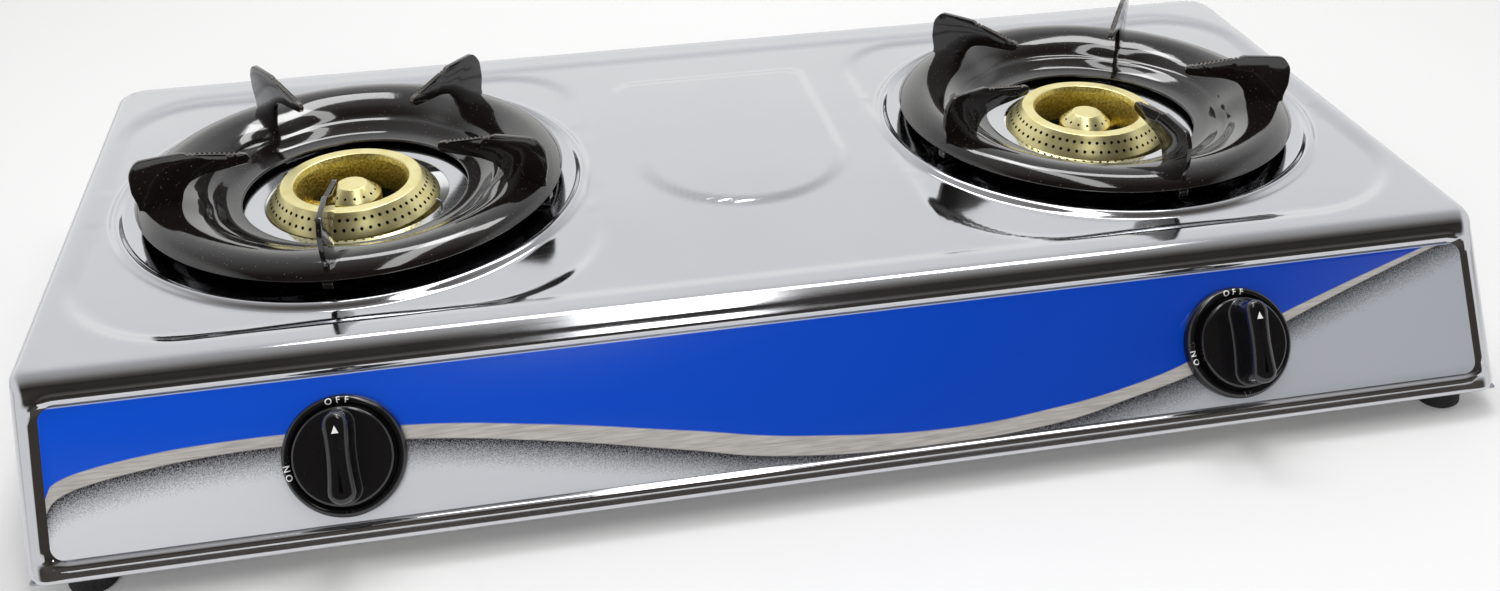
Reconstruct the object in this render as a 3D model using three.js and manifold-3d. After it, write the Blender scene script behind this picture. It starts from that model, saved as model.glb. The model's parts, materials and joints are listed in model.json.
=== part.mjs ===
// Two-burner tabletop gas stove: a pressed stainless body with an inclined control panel, two brass
// burners in polished drip dishes, enamelled five-prong pan supports and push-and-turn gas valves.
// Millimetres, +Z up, +X to the user's right, the user stands at -Y. The origin is on the surface that
// the feet stand on, under the middle of the bounding box.
import * as THREE from "three";
import { mergeVertices } from "three/addons/utils/BufferGeometryUtils.js";
import Module from "manifold-3d";

const wasm = await Module();
wasm.setup();

// ---- driving dimensions -------------------------------------------------------------------------
const GAP = 0.3; // clearance between solids that touch on the real object
const HALF_WIDTH = 350;
const TOP_Z = 85;
const SHEET = 1.6; // body sheet with its inner stiffening
const REAR_Y = 173.3;
const WALL_Z = 11; // lower edge of the body's walls
const REAR_CORNER = 16;
const FRONT_CORNER = 1;
const FRONT_REACH = 200;
const TOP_ROLL = 13.5; // radius of the roll from the top into the front

const BURNER_Y = 20; // both burner centres lie on this line
const BURNER_X = 207;
const HEAD_SHIFT = -2; // the castings sit this far left of the pan supports
const HOLE_R = 78;
const BEAD_R = 120.5;
const BEAD_HALF = 4.5;
const BEAD_RISE = 2.6;

// The control panel's plane: 35.2 degrees from vertical, its lower edge nearer the user.
const PANEL_TILT = THREE.MathUtils.degToRad(35.2);
const PANEL_LENGTH = 675.6;
const PANEL_HEIGHT = 65.9;
const PANEL_CORNER = 6;
const PANEL_SHEET = 0.6;
const PANEL_TOP = [-142.9, 74]; // y and z of the panel's upper edge
const KNOB_X = 212;
const KNOB_DOWN = 36.3; // from the panel's upper edge to the knob's axis

const KNOB_R = 21.8;
const KNOB_REAR = 5.3;
const KNOB_FACE = 9.5;
const KNOB_TOP = 27;
const GRIP_LENGTH = 40.4;
const GRIP_WIDTH = 12.2;
const BEZEL_R = 27.2;
const SPINDLE_R = 3;
const BRACKET_AT = -13.5; // lower face of the bracket that holds the valve, below the panel's surface
const VALVE_R = 11;
const VALVE_END = -41;
const SPRING_FROM = -22.7;
const SPRING_TO = -15.6;
const RAIL_AT = -50; // the gas rail's axis, measured along the knob's axis
const RAIL_R = 5.5;
const RAIL_END = 218;

const TUBE_Z = 27; // injector and mouth of the mixing tube
const MOUTH_Y = -104;
const INJECTOR_FROM = -115.7;
const INJECTOR_TO = -102;

const DISH_FLOOR_Z = 76.3;
const DISH_BORE_R = 48.2;
const BODY_FLOOR_Z = 42;
const BODY_RIM_Z = 66.7;
const RING_FOOT_Z = BODY_RIM_Z + GAP;
const RING_TOP_Z = 87;
const CAP_FOOT_Z = 69.3;
const CAP_TOP_Z = 84.6;
const BRACE_Z = 40;
const BRACE_REACH = 85;
const BRACE_WIDTH = 26;
const SCREW_REACH = BRACE_REACH + 7;

const ELECTRODE_R = 50.5;
const ELECTRODE_TURN = THREE.MathUtils.degToRad(-25);
const ELECTRODE_FOOT_Z = 46;

const PRONGS = 5;
const PRONG_SHEET = 2.6;
const PRONG_TOP_Z = 120.2;
const PRONG_TIP_R = 49.8;
const FIRST_PRONG = { left: -94.7, right: -86.7 }; // azimuth of the prong nearest the user
const TRAY_SHEET = 1.5;

const FOOT_X = 326;
const FOOT_FRONT_Y = -172;
const FOOT_REAR_Y = 140;
const FOOT_R = 11;
const NOZZLE_X = 0;
const NOZZLE_Z = 45;
const NOZZLE_END_Y = 196.6;

const SIDES = { left: -1, right: 1 };

// ---- finishes -----------------------------------------------------------------------------------
const finish = (color, roughness, metalness) =>
  new THREE.MeshStandardMaterial({ color, roughness, metalness });
const polishedSteel = () => finish(0xc9cacd, 0.22, 1);
const plainSteel = () => finish(0x9a9da0, 0.45, 1);
const enamel = () => finish(0x2a2524, 0.12, 0);
const brass = () => finish(0xd9c368, 0.38, 1);
const castIron = () => finish(0x3b3d40, 0.75, 0.6);
const blackPlastic = () => finish(0x141315, 0.2, 0);
const rubber = () => finish(0x1b1b1b, 0.85, 0);
const ceramic = () => finish(0xe9e6dc, 0.35, 0);

// ---- geometry helpers ---------------------------------------------------------------------------
function toSolid(geometry) {
  const bare = geometry.index ? geometry.toNonIndexed() : geometry.clone();
  bare.deleteAttribute("normal");
  bare.deleteAttribute("uv");
  const merged = mergeVertices(bare, 1e-4);
  return new wasm.Manifold(
    new wasm.Mesh({
      numProp: 3,
      vertProperties: merged.attributes.position.array,
      triVerts: new Uint32Array(merged.index.array),
    }),
  );
}

function toGeometry(solid) {
  const mesh = solid.getMesh();
  const geometry = new THREE.BufferGeometry();
  geometry.setAttribute("position", new THREE.BufferAttribute(mesh.vertProperties, mesh.numProp));
  geometry.setIndex(new THREE.BufferAttribute(mesh.triVerts, 1));
  return geometry;
}

const join = (...parts) => toGeometry(parts.map(toSolid).reduce((a, b) => a.add(b)));
const cut = (part, ...tools) =>
  toGeometry(tools.map(toSolid).reduce((a, b) => a.subtract(b), toSolid(part)));
const common = (a, b) => toGeometry(toSolid(a).intersect(toSolid(b)));

// A solid of revolution about Z from [radius, height] corners, listed up the outside and down the inside.
function turned(corners, segments = 24) {
  const loop = corners[0][0] > 0 ? [...corners, corners[0]] : corners;
  const points = loop.map(([radius, height]) => new THREE.Vector2(radius, height));
  return new THREE.LatheGeometry(points, segments).rotateX(Math.PI / 2);
}

const rod = (radius, from, to, segments = 12) =>
  turned([[0, from], [radius, from], [radius, to], [0, to]], segments);

function box(x, y, z, width, depth, height) {
  return new THREE.BoxGeometry(width, depth, height).translate(x, y, z);
}

function extruded(shape, depth, curveSegments = 6) {
  return new THREE.ExtrudeGeometry(shape, { depth, bevelEnabled: false, curveSegments });
}

// A shape drawn in (Y, Z), extruded along X and centred on X = 0.
function acrossWidth(shape, width, curveSegments) {
  const turn = new THREE.Matrix4().makeBasis(
    new THREE.Vector3(0, 1, 0),
    new THREE.Vector3(0, 0, 1),
    new THREE.Vector3(1, 0, 0),
  );
  return extruded(shape, width, curveSegments).applyMatrix4(turn).translate(-width / 2, 0, 0);
}

// A shape drawn in (X, Z), extruded along Y and centred on Y = 0.
function alongDepth(shape, depth, curveSegments) {
  return extruded(shape, depth, curveSegments).rotateX(Math.PI / 2).translate(0, depth / 2, 0);
}

const polygon = (corners) => new THREE.Shape(corners.map(([x, y]) => new THREE.Vector2(x, y)));

function roundedRectangle(left, right, low, high, lowRadius, highRadius) {
  const shape = new THREE.Shape();
  shape.moveTo(left + lowRadius, low);
  shape.lineTo(right - lowRadius, low);
  shape.absarc(right - lowRadius, low + lowRadius, lowRadius, -Math.PI / 2, 0, false);
  shape.lineTo(right, high - highRadius);
  shape.absarc(right - highRadius, high - highRadius, highRadius, 0, Math.PI / 2, false);
  shape.lineTo(left + highRadius, high);
  shape.absarc(left + highRadius, high - highRadius, highRadius, Math.PI / 2, Math.PI, false);
  shape.lineTo(left, low + lowRadius);
  shape.absarc(left + lowRadius, low + lowRadius, lowRadius, Math.PI, 1.5 * Math.PI, false);
  return shape;
}

function roundBar(points, radius, steps, sides = 8) {
  const section = new THREE.Shape();
  section.absarc(0, 0, radius, 0, 2 * Math.PI, false);
  const path = new THREE.CatmullRomCurve3(points.map((point) => new THREE.Vector3(...point)));
  return new THREE.ExtrudeGeometry(section, { extrudePath: path, steps, curveSegments: sides / 2 });
}

// ---- the panel's own frame: x along the panel, y up its slope, z out of it ----------------------
const PANEL_TURN = Math.PI / 2 - PANEL_TILT;

const toPanel = (geometry) => geometry.rotateX(PANEL_TURN).translate(0, ...PANEL_TOP);

function knobCentre(side) {
  const [y, z] = PANEL_TOP;
  return [SIDES[side] * KNOB_X, y - KNOB_DOWN * Math.sin(PANEL_TILT),
    z - KNOB_DOWN * Math.cos(PANEL_TILT)];
}

function knobFrame(side) {
  return new THREE.Matrix4().makeRotationX(PANEL_TURN).setPosition(...knobCentre(side));
}

const toKnob = (geometry, side) => geometry.applyMatrix4(knobFrame(side));

// ---- body ---------------------------------------------------------------------------------------
// Side view of the body, moved inwards by an inset; the front line is moved along its own normal.
function sideOutline(inset, lowest) {
  const frontAt = (z) => PANEL_TOP[0] - (PANEL_TOP[1] - z) * Math.tan(PANEL_TILT) +
    inset / Math.cos(PANEL_TILT);
  const top = TOP_Z - inset;
  const rear = REAR_Y - inset;
  const radius = TOP_ROLL - inset;
  const turn = Math.PI / 2 - PANEL_TILT;
  const rollY = frontAt(top) + radius * Math.tan(turn / 2);
  const shape = new THREE.Shape();
  shape.moveTo(rear, lowest);
  shape.lineTo(rear, top - 5);
  shape.quadraticCurveTo(rear, top, rear - 5, top);
  shape.lineTo(rollY, top);
  shape.absarc(rollY, top - radius, radius, Math.PI / 2, Math.PI / 2 + turn, false);
  shape.lineTo(frontAt(lowest), lowest);
  return shape;
}

function bodyBlock(inset, lowest) {
  const half = HALF_WIDTH - inset;
  const side = acrossWidth(sideOutline(inset, lowest), 2 * half, 4);
  const rear = REAR_Y - inset;
  const plan = roundedRectangle(-half, half, -FRONT_REACH, rear, FRONT_CORNER, REAR_CORNER - inset);
  const margin = 5;
  const height = TOP_Z - lowest + 2 * margin;
  return common(side, extruded(plan, height, 5).translate(0, 0, lowest - margin));
}

function beadRing() {
  const corners = [];
  for (let i = 0; i <= 4; i++) {
    const angle = (i / 4) * Math.PI;
    const height = TOP_Z - 0.4 + (BEAD_RISE + 0.4) * Math.sin(angle);
    corners.push([BEAD_R + BEAD_HALF * Math.cos(angle), height]);
  }
  return turned(corners, 32);
}

// The raised U-shaped pad between the burners.
function middlePad() {
  const radius = 58;
  const corner = 12;
  const front = BURNER_Y - 9;
  const rear = BURNER_Y + 97;
  const shape = new THREE.Shape();
  shape.moveTo(radius, front);
  shape.lineTo(radius, rear - corner);
  shape.absarc(radius - corner, rear - corner, corner, 0, Math.PI / 2, false);
  shape.lineTo(corner - radius, rear);
  shape.absarc(corner - radius, rear - corner, corner, Math.PI / 2, Math.PI, false);
  shape.lineTo(-radius, front);
  shape.absarc(0, front, radius, Math.PI, 2 * Math.PI, false);
  return extruded(shape, 1.6, 6).translate(0, 0, TOP_Z - 0.4);
}

function bodyShell() {
  const half = PANEL_LENGTH / 2 + GAP;
  const recess = roundedRectangle(-half, half, -PANEL_HEIGHT - GAP, GAP, PANEL_CORNER, PANEL_CORNER);
  const tools = [
    bodyBlock(SHEET, WALL_Z - 2),
    toPanel(extruded(recess, 4).translate(0, 0, -PANEL_SHEET - GAP)),
    rod(8.4, -10, 10).rotateX(Math.PI / 2).translate(NOZZLE_X, REAR_Y, NOZZLE_Z),
  ];
  const raised = [middlePad()];
  for (const [side, sign] of Object.entries(SIDES)) {
    const x = sign * BURNER_X;
    raised.push(beadRing().translate(x, BURNER_Y, 0));
    tools.push(rod(HOLE_R, TOP_Z - 10, TOP_Z + 10, 32).translate(x, BURNER_Y, 0));
    tools.push(toKnob(rod(6.5, -10, 10), side));
    for (const end of [-1, 1]) {
      tools.push(rod(2.4, TOP_Z - 10, TOP_Z + 10, 12).translate(x + end * SCREW_REACH, BURNER_Y, 0));
    }
  }
  return cut(join(bodyBlock(0, WALL_Z), ...raised), ...tools);
}

function panelSheet() {
  const half = PANEL_LENGTH / 2;
  const shape = roundedRectangle(-half, half, -PANEL_HEIGHT, 0, PANEL_CORNER, PANEL_CORNER);
  const sheet = toPanel(extruded(shape, PANEL_SHEET).translate(0, 0, -PANEL_SHEET));
  return cut(sheet, ...Object.keys(SIDES).map((side) => toKnob(rod(6.5, -5, 5), side)));
}

// Angle rail inside each end wall that carries two of the feet.
function footRail(sign) {
  const outer = HALF_WIDTH - SHEET - GAP;
  const flange = box(sign * (outer - 20), -18, WALL_Z + 0.75, 40, 332, 1.5);
  const web = box(sign * (outer - 0.75), -6, WALL_Z + 12, 1.5, 312, 24);
  return join(flange, web);
}

function foot() {
  const top = WALL_Z - GAP;
  return turned([[0, 0], [FOOT_R - 1.5, 0], [FOOT_R, 1.5], [FOOT_R - 2, top], [0, top]], 16);
}

// ---- burners: drawn about the burner's own axis, at their real height ---------------------------
// A bridge-shaped strip that carries the burner casting under the body's hole.
function brace() {
  const sheet = 2;
  const tip = BRACE_REACH + 14;
  const top = TOP_Z - SHEET - GAP;
  const right = [[BRACE_REACH, BRACE_Z - sheet], [BRACE_REACH, top - sheet], [tip, top - sheet],
    [tip, top], [BRACE_REACH - sheet, top], [BRACE_REACH - sheet, BRACE_Z]];
  const left = right.map(([x, z]) => [-x, z]).reverse();
  const holes = [-1, 1].map((end) => rod(2.4, top - 10, top + 10, 12).translate(end * SCREW_REACH, 0, 0));
  return cut(alongDepth(polygon([...right, ...left]), BRACE_WIDTH), ...holes);
}

function braceScrew() {
  const seat = TOP_Z + GAP;
  return turned([[0, seat - 9], [2, seat - 9], [2, seat], [3.8, seat], [3.4, seat + 1.6], [2, seat + 2.2],
    [0, seat + 2.2]], 12);
}

// Polished dish that hangs in the body's hole by its rim and catches spills round the burner.
function dripDish() {
  const wall = HOLE_R - 1.7;
  const seat = TOP_Z + GAP;
  const floor = DISH_FLOOR_Z;
  const dish = turned([[DISH_BORE_R, floor], [wall, floor], [wall, seat], [wall + 6.5, seat],
    [wall + 6.5, seat + 0.8], [wall - 0.8, seat + 0.8], [wall - 0.8, floor + 0.8],
    [DISH_BORE_R, floor + 0.8]], 32);
  return cut(dish, electrodeSpot(rod(4.2, floor - 5, floor + 5)).translate(HEAD_SHIFT, 0, 0));
}

// Cast burner: a gas trough for the ring, a post for the cap, and the mixing tube to the injector.
function burnerBody(side) {
  const floor = BODY_FLOOR_Z;
  const trough = turned([[27.5, floor], [44.2, floor], [44.2, BODY_RIM_Z], [41.2, BODY_RIM_Z],
    [41.2, floor + 4], [31.5, floor + 4], [31.5, BODY_RIM_Z], [27.5, BODY_RIM_Z]], 24);
  const post = turned([[0, floor], [15.5, floor], [15.5, 64], [11, 64], [11, floor + 5],
    [0, floor + 5]], 16);
  const webs = [90, 210, 330].map((angle) =>
    box(21.5, 0, floor + 6, 16, 8, 12).rotateZ(THREE.MathUtils.degToRad(angle)));
  const lug = electrodeSpot(box(0, 0, floor + 10, 14, 10, 4));
  const seat = rod(8, BRACE_Z + GAP, floor + 1, 20);
  const [mouthX, mouthY] = [SIDES[side] * (KNOB_X - BURNER_X) - HEAD_SHIFT, MOUTH_Y - BURNER_Y];
  const atMouth = (geometry) => geometry.rotateX(-Math.PI / 2).translate(mouthX, mouthY, TUBE_Z);
  const route = [[mouthX, mouthY + 3, TUBE_Z], [mouthX, mouthY + 30, TUBE_Z + 1],
    [mouthX / 2, -62, TUBE_Z + 9]];
  const tube = roundBar([...route, [0, -39, floor + 9]], 11, 6, 12);
  const bore = roundBar([...route, [0, -36, floor + 11]], 8, 6, 8);
  const outside = join(trough, post, ...webs, lug, seat, tube, atMouth(rod(14, 0, 6)));
  const hollow = cut(join(bore, atMouth(rod(11, 0.6, 6))), atMouth(rod(13.5, -1, 1.2)));
  const feed = rod(2.2, 8, 36, 12).rotateX(-Math.PI / 2).translate(0, 0, floor + 8);
  const electrodeHole = electrodeSpot(rod(3.3, floor, floor + 20, 16));
  const openings = [hollow, feed, electrodeHole, atMouth(rod(5.6, -4, 4, 10))];
  openings.push(...airWindows(2.8).map(atMouth));
  return cut(outside, ...openings);
}

// Three round air windows about the mouth's axis.
function airWindows(radius) {
  return [0, 1, 2].map((n) => {
    const angle = (n * 2 * Math.PI) / 3;
    return rod(radius, -4, 4, 8).translate(9.2 * Math.sin(angle), 9.2 * Math.cos(angle), 0);
  });
}

// Drawn about Z; the mouth it turns on faces the user.
function airShutter() {
  const disc = join(rod(13.2, -1.6, -GAP), box(0, -15, -0.95, 6, 8, 1.3));
  return cut(disc, rod(5.4, -4, 4, 20), ...airWindows(2.8)).rotateX(-Math.PI / 2);
}

function burnerRing() {
  const foot = RING_FOOT_Z;
  const head = turned([[41.4, foot], [44.6, foot], [45.3, 76.5], [36.5, RING_TOP_Z], [30.4, RING_TOP_Z],
    [29.4, RING_TOP_Z - 1], [28.2, foot], [31.4, foot], [32.4, 82], [36, 82.6], [41.4, 76]], 28);
  const hub = turned([[9.5, 64.3], [14.2, 64.3], [14.2, CAP_FOOT_Z - GAP], [9.5, CAP_FOOT_Z - GAP]], 20);
  const arms = [30, 150, 270].map((angle) =>
    box(21, 0, 69, 18, 5, 3.6).rotateZ(THREE.MathUtils.degToRad(angle)));
  return cut(join(head, hub, ...arms), rod(15, CAP_FOOT_Z - GAP, 75, 20));
}

function burnerCap() {
  return turned([[0, 80.5], [5.5, 80.2], [11.6, 76], [11.6, CAP_FOOT_Z], [14.3, CAP_FOOT_Z], [14.6, 78.6],
    [7.8, CAP_TOP_Z - 0.2], [0, CAP_TOP_Z]], 20);
}

function electrodeSpot(geometry) {
  return geometry.translate(ELECTRODE_R, 0, 0).rotateZ(ELECTRODE_TURN);
}

// Ceramic insulator with a bent wire whose tip points at the burner ring.
function sparkElectrode() {
  const insulator = turned([[0, ELECTRODE_FOOT_Z], [3, ELECTRODE_FOOT_Z], [3, 72], [2.2, 73.5],
    [0, 73.5]], 16);
  const wire = roundBar([[0, 0, 72], [0, 0, 78], [-0.6, 0, 80], [-2.6, 0, 80.6]], 0.8, 8);
  return electrodeSpot(join(insulator, wire));
}

// ---- pan supports -------------------------------------------------------------------------------
function supportTray(side) {
  const upper = [[58.7, 81.4], [66, 82.4], [73, 86.4], [79, 90.3], [82, 92.2], [87, 94.6],
    [92, 96.6], [98, 97.2], [104, 95.8], [110.2, 91]];
  const lower = upper.map(([radius, height]) => [radius, height - TRAY_SHEET]);
  const tray = turned([...lower, ...upper.reverse()], 32);
  return cut(tray, ...prongTurns(side).map((turn) =>
    box(97, 0, 93, 22.4, PRONG_SHEET + 2 * GAP, 20).rotateZ(turn)));
}

function prongTurns(side) {
  return Array.from({ length: PRONGS }, (_, n) =>
    THREE.MathUtils.degToRad(FIRST_PRONG[side] + (n * 360) / PRONGS));
}

// One sheet prong seen from its flat side, in (radius, height): foot, rounded back, toothed top, tip.
function prong() {
  const teeth = 8;
  const [toothedTo, toothedFrom] = [[54, 114.6], [79, PRONG_TOP_Z]];
  const corners = [[98, TOP_Z + GAP], [109.4, TOP_Z + GAP], [109.4, 88.4], [107.4, 89.2],
    [107.4, 96], [108.3, 100], [108.2, 112], [107, 116], [104.5, 118.8], [101, PRONG_TOP_Z]];
  for (let i = 0; i <= 2 * teeth; i++) {
    const along = i / (2 * teeth);
    const radius = THREE.MathUtils.lerp(toothedFrom[0], toothedTo[0], along);
    const height = THREE.MathUtils.lerp(toothedFrom[1], toothedTo[1], along);
    corners.push([radius, height - 0.9 * (i % 2)]);
  }
  corners.push([51, 112.8], [PRONG_TIP_R, 110.6], [51, 108.5], [60, 107.8], [73, 106.8], [79, 105],
    [83.5, 101.5], [86, 97.5], [86.6, 93.5], [86.6, 91], [90, 89], [95, 87.5]);
  return alongDepth(polygon(corners), PRONG_SHEET);
}

// ---- controls: drawn in the knob's own frame, z out of the panel --------------------------------
function bezel() {
  return turned([[5.5, GAP], [BEZEL_R, GAP], [BEZEL_R, 1.6], [26.4, 3.8], [24.8, 5.2], [23.3, 5.4],
    [22.6, 4.6], [22.6, 1.5], [5.5, 1.5]], 28);
}

function knob() {
  const edge = 1.8;
  const disc = turned([[0, KNOB_REAR], [KNOB_R - 0.6, KNOB_REAR], [KNOB_R, KNOB_REAR + 0.6],
    [KNOB_R - 0.3, KNOB_FACE - 0.8], [KNOB_R - 1.3, KNOB_FACE], [0, KNOB_FACE]], 28);
  const [halfLength, halfWidth] = [GRIP_LENGTH / 2, GRIP_WIDTH / 2];
  const outline = roundedRectangle(-halfWidth, halfWidth, -halfLength, halfLength, halfWidth - 0.1,
    halfWidth - 0.1);
  const foot = KNOB_FACE - edge - 0.6;
  const grip = new THREE.ExtrudeGeometry(outline, {
    depth: KNOB_TOP - foot - 2 * edge,
    bevelThickness: edge,
    bevelSize: edge,
    bevelOffset: -edge,
    bevelSegments: 2,
    curveSegments: 4,
  }).translate(0, 0, foot + edge);
  return cut(join(disc, grip), rod(SPINDLE_R + GAP, 0, 15.3, 20));
}

function spindle() {
  const collar = BRACKET_AT - GAP;
  return turned([[0, -28], [SPINDLE_R, -28], [SPINDLE_R, collar - 1.4], [6.6, collar - 1.4],
    [6.6, collar], [SPINDLE_R, collar], [SPINDLE_R, 15], [0, 15]], 16);
}

function returnSpring() {
  const [turns, stepsPerTurn, radius, wire] = [3.5, 8, 5, 0.45];
  const points = Array.from({ length: turns * stepsPerTurn + 1 }, (_, i) => {
    const angle = (i / stepsPerTurn) * 2 * Math.PI;
    const along = i / (turns * stepsPerTurn);
    const height = THREE.MathUtils.lerp(SPRING_FROM + wire, SPRING_TO - wire, along);
    return [radius * Math.cos(angle), radius * Math.sin(angle), height];
  });
  return roundBar(points, wire, turns * stepsPerTurn, 4);
}

// The tapered plug that opens the gas way as it is turned; the spindle slides in its socket.
function valvePlug() {
  const plug = turned([[0, -35.6], [5.38, -35.6], [7.1, -23.2], [3.3, -23.2], [3.3, -33], [0, -33]], 16);
  return cut(plug, rod(1.8, 0, 12, 12).rotateX(-Math.PI / 2).translate(0, 0, -29.5));
}

// Bracket between the front and the valve; its middle keeps the spindle in.
function valveBracket() {
  const [sheet, half, top] = [1.5, 18, -SHEET - GAP];
  const profile = [[half, BRACKET_AT], [half, top - sheet], [half + 9, top - sheet], [half + 9, top],
    [half - sheet, top], [half - sheet, BRACKET_AT + sheet]];
  const mirrored = profile.map(([x, z]) => [-x, z]).reverse();
  return cut(alongDepth(polygon([...profile, ...mirrored]), 14), rod(3.6, -20, 0, 20));
}

// Brass valve with its igniter housing, the outlet to the injector and the inlet from the gas rail.
function valveBody(side) {
  const x = SIDES[side] * KNOB_X;
  const outletY = -138.5;
  const cup = turned([[0, VALVE_END], [VALVE_R, VALVE_END], [VALVE_R, BRACKET_AT - GAP],
    [7.4, BRACKET_AT - GAP], [7.4, -23], [5.65, -36], [0, -36]], 16);
  const inlet = rod(4.5, RAIL_AT, VALVE_END + 1);
  const igniter = box(15, 0, -28, 10, 14, 18);
  const outlet = rod(5, 0, INJECTOR_FROM - GAP - outletY).rotateX(-Math.PI / 2).translate(x, outletY,
    TUBE_Z);
  const outside = join(toKnob(join(cup, inlet, igniter), side), outlet);
  const socket = turned([[0, -36], [5.65, -36], [7.4, -23], [7.4, 0], [0, 0]], 16);
  const railWay = rod(RAIL_R + GAP, -20, 20).rotateY(Math.PI / 2).translate(0, 0, RAIL_AT);
  const ways = [toKnob(socket, side), toKnob(railWay, side), toKnob(rod(2, RAIL_AT, -35, 12), side)];
  ways.push(rod(2.5, 0, 30, 12).rotateX(-Math.PI / 2).translate(x, outletY + 4, TUBE_Z));
  return cut(outside, ...ways);
}

function injector(side) {
  const length = INJECTOR_TO - INJECTOR_FROM;
  const profile = [[2.4, 0], [5.4, 0], [5.4, 4.6], [4.2, 4.6], [4.2, length - 3], [2.4, length],
    [0.6, length], [0.6, length - 3], [2.4, length - 4]];
  return turned(profile, 12).rotateX(-Math.PI / 2).translate(SIDES[side] * KNOB_X, INJECTOR_FROM, TUBE_Z);
}

// ---- gas supply and ignition --------------------------------------------------------------------
function gasRail() {
  const axis = new THREE.Vector3(0, 0, RAIL_AT).applyMatrix4(knobFrame("left"));
  const rail = rod(RAIL_R, -RAIL_END, RAIL_END).rotateY(Math.PI / 2).translate(0, axis.y, axis.z);
  const branch = roundBar([[NOZZLE_X, axis.y, axis.z], [NOZZLE_X, axis.y + 18, axis.z + 2],
    [NOZZLE_X, -40, 30],
    [NOZZLE_X, 60, NOZZLE_Z - 1], [NOZZLE_X, 120, NOZZLE_Z], [NOZZLE_X, 150, NOZZLE_Z]], RAIL_R, 12, 8);
  return join(rail, branch);
}

// Threaded tail through the rear wall, a collar outside it and a barbed stem for a hose.
function hoseNozzle() {
  const start = 150 + GAP;
  const collar = REAR_Y + GAP - start;
  const length = NOZZLE_END_Y - start;
  const profile = [[3, 0], [6.5, 0], [6.5, collar], [9.5, collar], [9.5, collar + 5.5],
    [4.6, collar + 5.5]];
  for (let barb = 0; barb < 3; barb++) {
    const from = collar + 7.5 + barb * 4.6;
    profile.push([5.9, from], [4.7, from + 4.2]);
  }
  profile.push([4.4, length], [3, length]);
  return turned(profile, 16).rotateX(-Math.PI / 2).translate(NOZZLE_X, start, NOZZLE_Z);
}

// High-voltage lead from the valve's igniter to the electrode.
function ignitionLead(side) {
  const igniterX = SIDES[side] * KNOB_X + 20 + GAP;
  const spot = electrodeSpot(new THREE.BufferGeometry().setFromPoints([new THREE.Vector3()])).attributes.position;
  const endX = SIDES[side] * BURNER_X + HEAD_SHIFT + spot.getX(0);
  const endY = BURNER_Y + spot.getY(0);
  const [low, high] = [27, 36];
  const route = [[igniterX, -139.3, low], [igniterX + 7, -138, low + 1],
    [(igniterX + endX) / 2 + 3, -122, low + 4],
    [endX - 3, -96, low + 7], [endX, -60, high - 2], [endX, endY - 14, high - 2],
    [endX, endY - 3, high + 1], [endX, endY, high + 5], [endX, endY, ELECTRODE_FOOT_Z - 2 * GAP]];
  return roundBar(route, 1.6, 24, 6);
}

// ---- assembly -----------------------------------------------------------------------------------
const stove = new THREE.Group();

function piece(parent, name, geometry, material) {
  const mesh = new THREE.Mesh(geometry, material);
  mesh.name = name;
  parent.add(mesh);
}

piece(stove, "body_shell", bodyShell(), polishedSteel());
piece(stove, "front_panel", panelSheet(), finish(0x0748cc, 0.25, 0));
piece(stove, "gas_rail", gasRail(), plainSteel());
piece(stove, "hose_nozzle", hoseNozzle(), brass());

for (const [side, sign] of Object.entries(SIDES)) {
  piece(stove, `foot_rail_${side}`, footRail(sign), plainSteel());
  for (const [end, y] of [["front", FOOT_FRONT_Y], ["rear", FOOT_REAR_Y]]) {
    piece(stove, `foot_${end}_${side}`, foot().translate(sign * FOOT_X, y, 0), rubber());
  }

  const support = new THREE.Group();
  support.position.set(sign * BURNER_X, BURNER_Y, 0);
  stove.add(support);
  piece(support, `burner_brace_${side}`, brace(), plainSteel());
  for (const [end, reach] of [["left", -SCREW_REACH], ["right", SCREW_REACH]]) {
    piece(support, `brace_screw_${side}_${end}`, braceScrew().translate(reach, 0, 0), plainSteel());
  }
  piece(support, `drip_dish_${side}`, dripDish(), polishedSteel());
  piece(support, `support_tray_${side}`, supportTray(side), enamel());
  prongTurns(side).forEach((turn, n) => {
    piece(support, `prong_${side}_${n + 1}`, prong().rotateZ(turn), enamel());
  });

  const burner = new THREE.Group();
  burner.position.set(sign * BURNER_X + HEAD_SHIFT, BURNER_Y, 0);
  stove.add(burner);
  piece(burner, `burner_body_${side}`, burnerBody(side), castIron());
  piece(burner, `burner_ring_${side}`, burnerRing(), brass());
  piece(burner, `burner_cap_${side}`, burnerCap(), brass());
  piece(burner, `spark_electrode_${side}`, sparkElectrode(), ceramic());
  piece(stove, `ignition_lead_${side}`, ignitionLead(side), finish(0x8c1f17, 0.6, 0));
  const shutter = airShutter().translate(sign * KNOB_X, MOUTH_Y, TUBE_Z);
  piece(stove, `air_shutter_${side}`, shutter, plainSteel());

  piece(stove, `valve_body_${side}`, valveBody(side), brass());
  piece(stove, `injector_${side}`, injector(side), brass());
  const control = new THREE.Group();
  control.position.set(...knobCentre(side));
  control.rotation.x = PANEL_TURN;
  stove.add(control);
  piece(control, `valve_bracket_${side}`, valveBracket(), plainSteel());
  piece(control, `valve_plug_${side}`, valvePlug(), brass());
  piece(control, `return_spring_${side}`, returnSpring(), plainSteel());
  piece(control, `spindle_${side}`, spindle(), plainSteel());
  piece(control, `bezel_${side}`, bezel(), blackPlastic());
  piece(control, `knob_${side}`, knob(), blackPlastic());
}

export default stove;
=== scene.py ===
"""Looks of a two-burner tabletop gas stove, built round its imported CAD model.

The body is one pressed sheet of polished stainless steel. It carries a printed panel with two gloss
black knobs, and two brass burners in polished dishes under enamelled five-prong pan supports.
Shapes are drawn in millimetres in the model's own frame and turned to metres as each piece is finished.
"""

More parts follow.
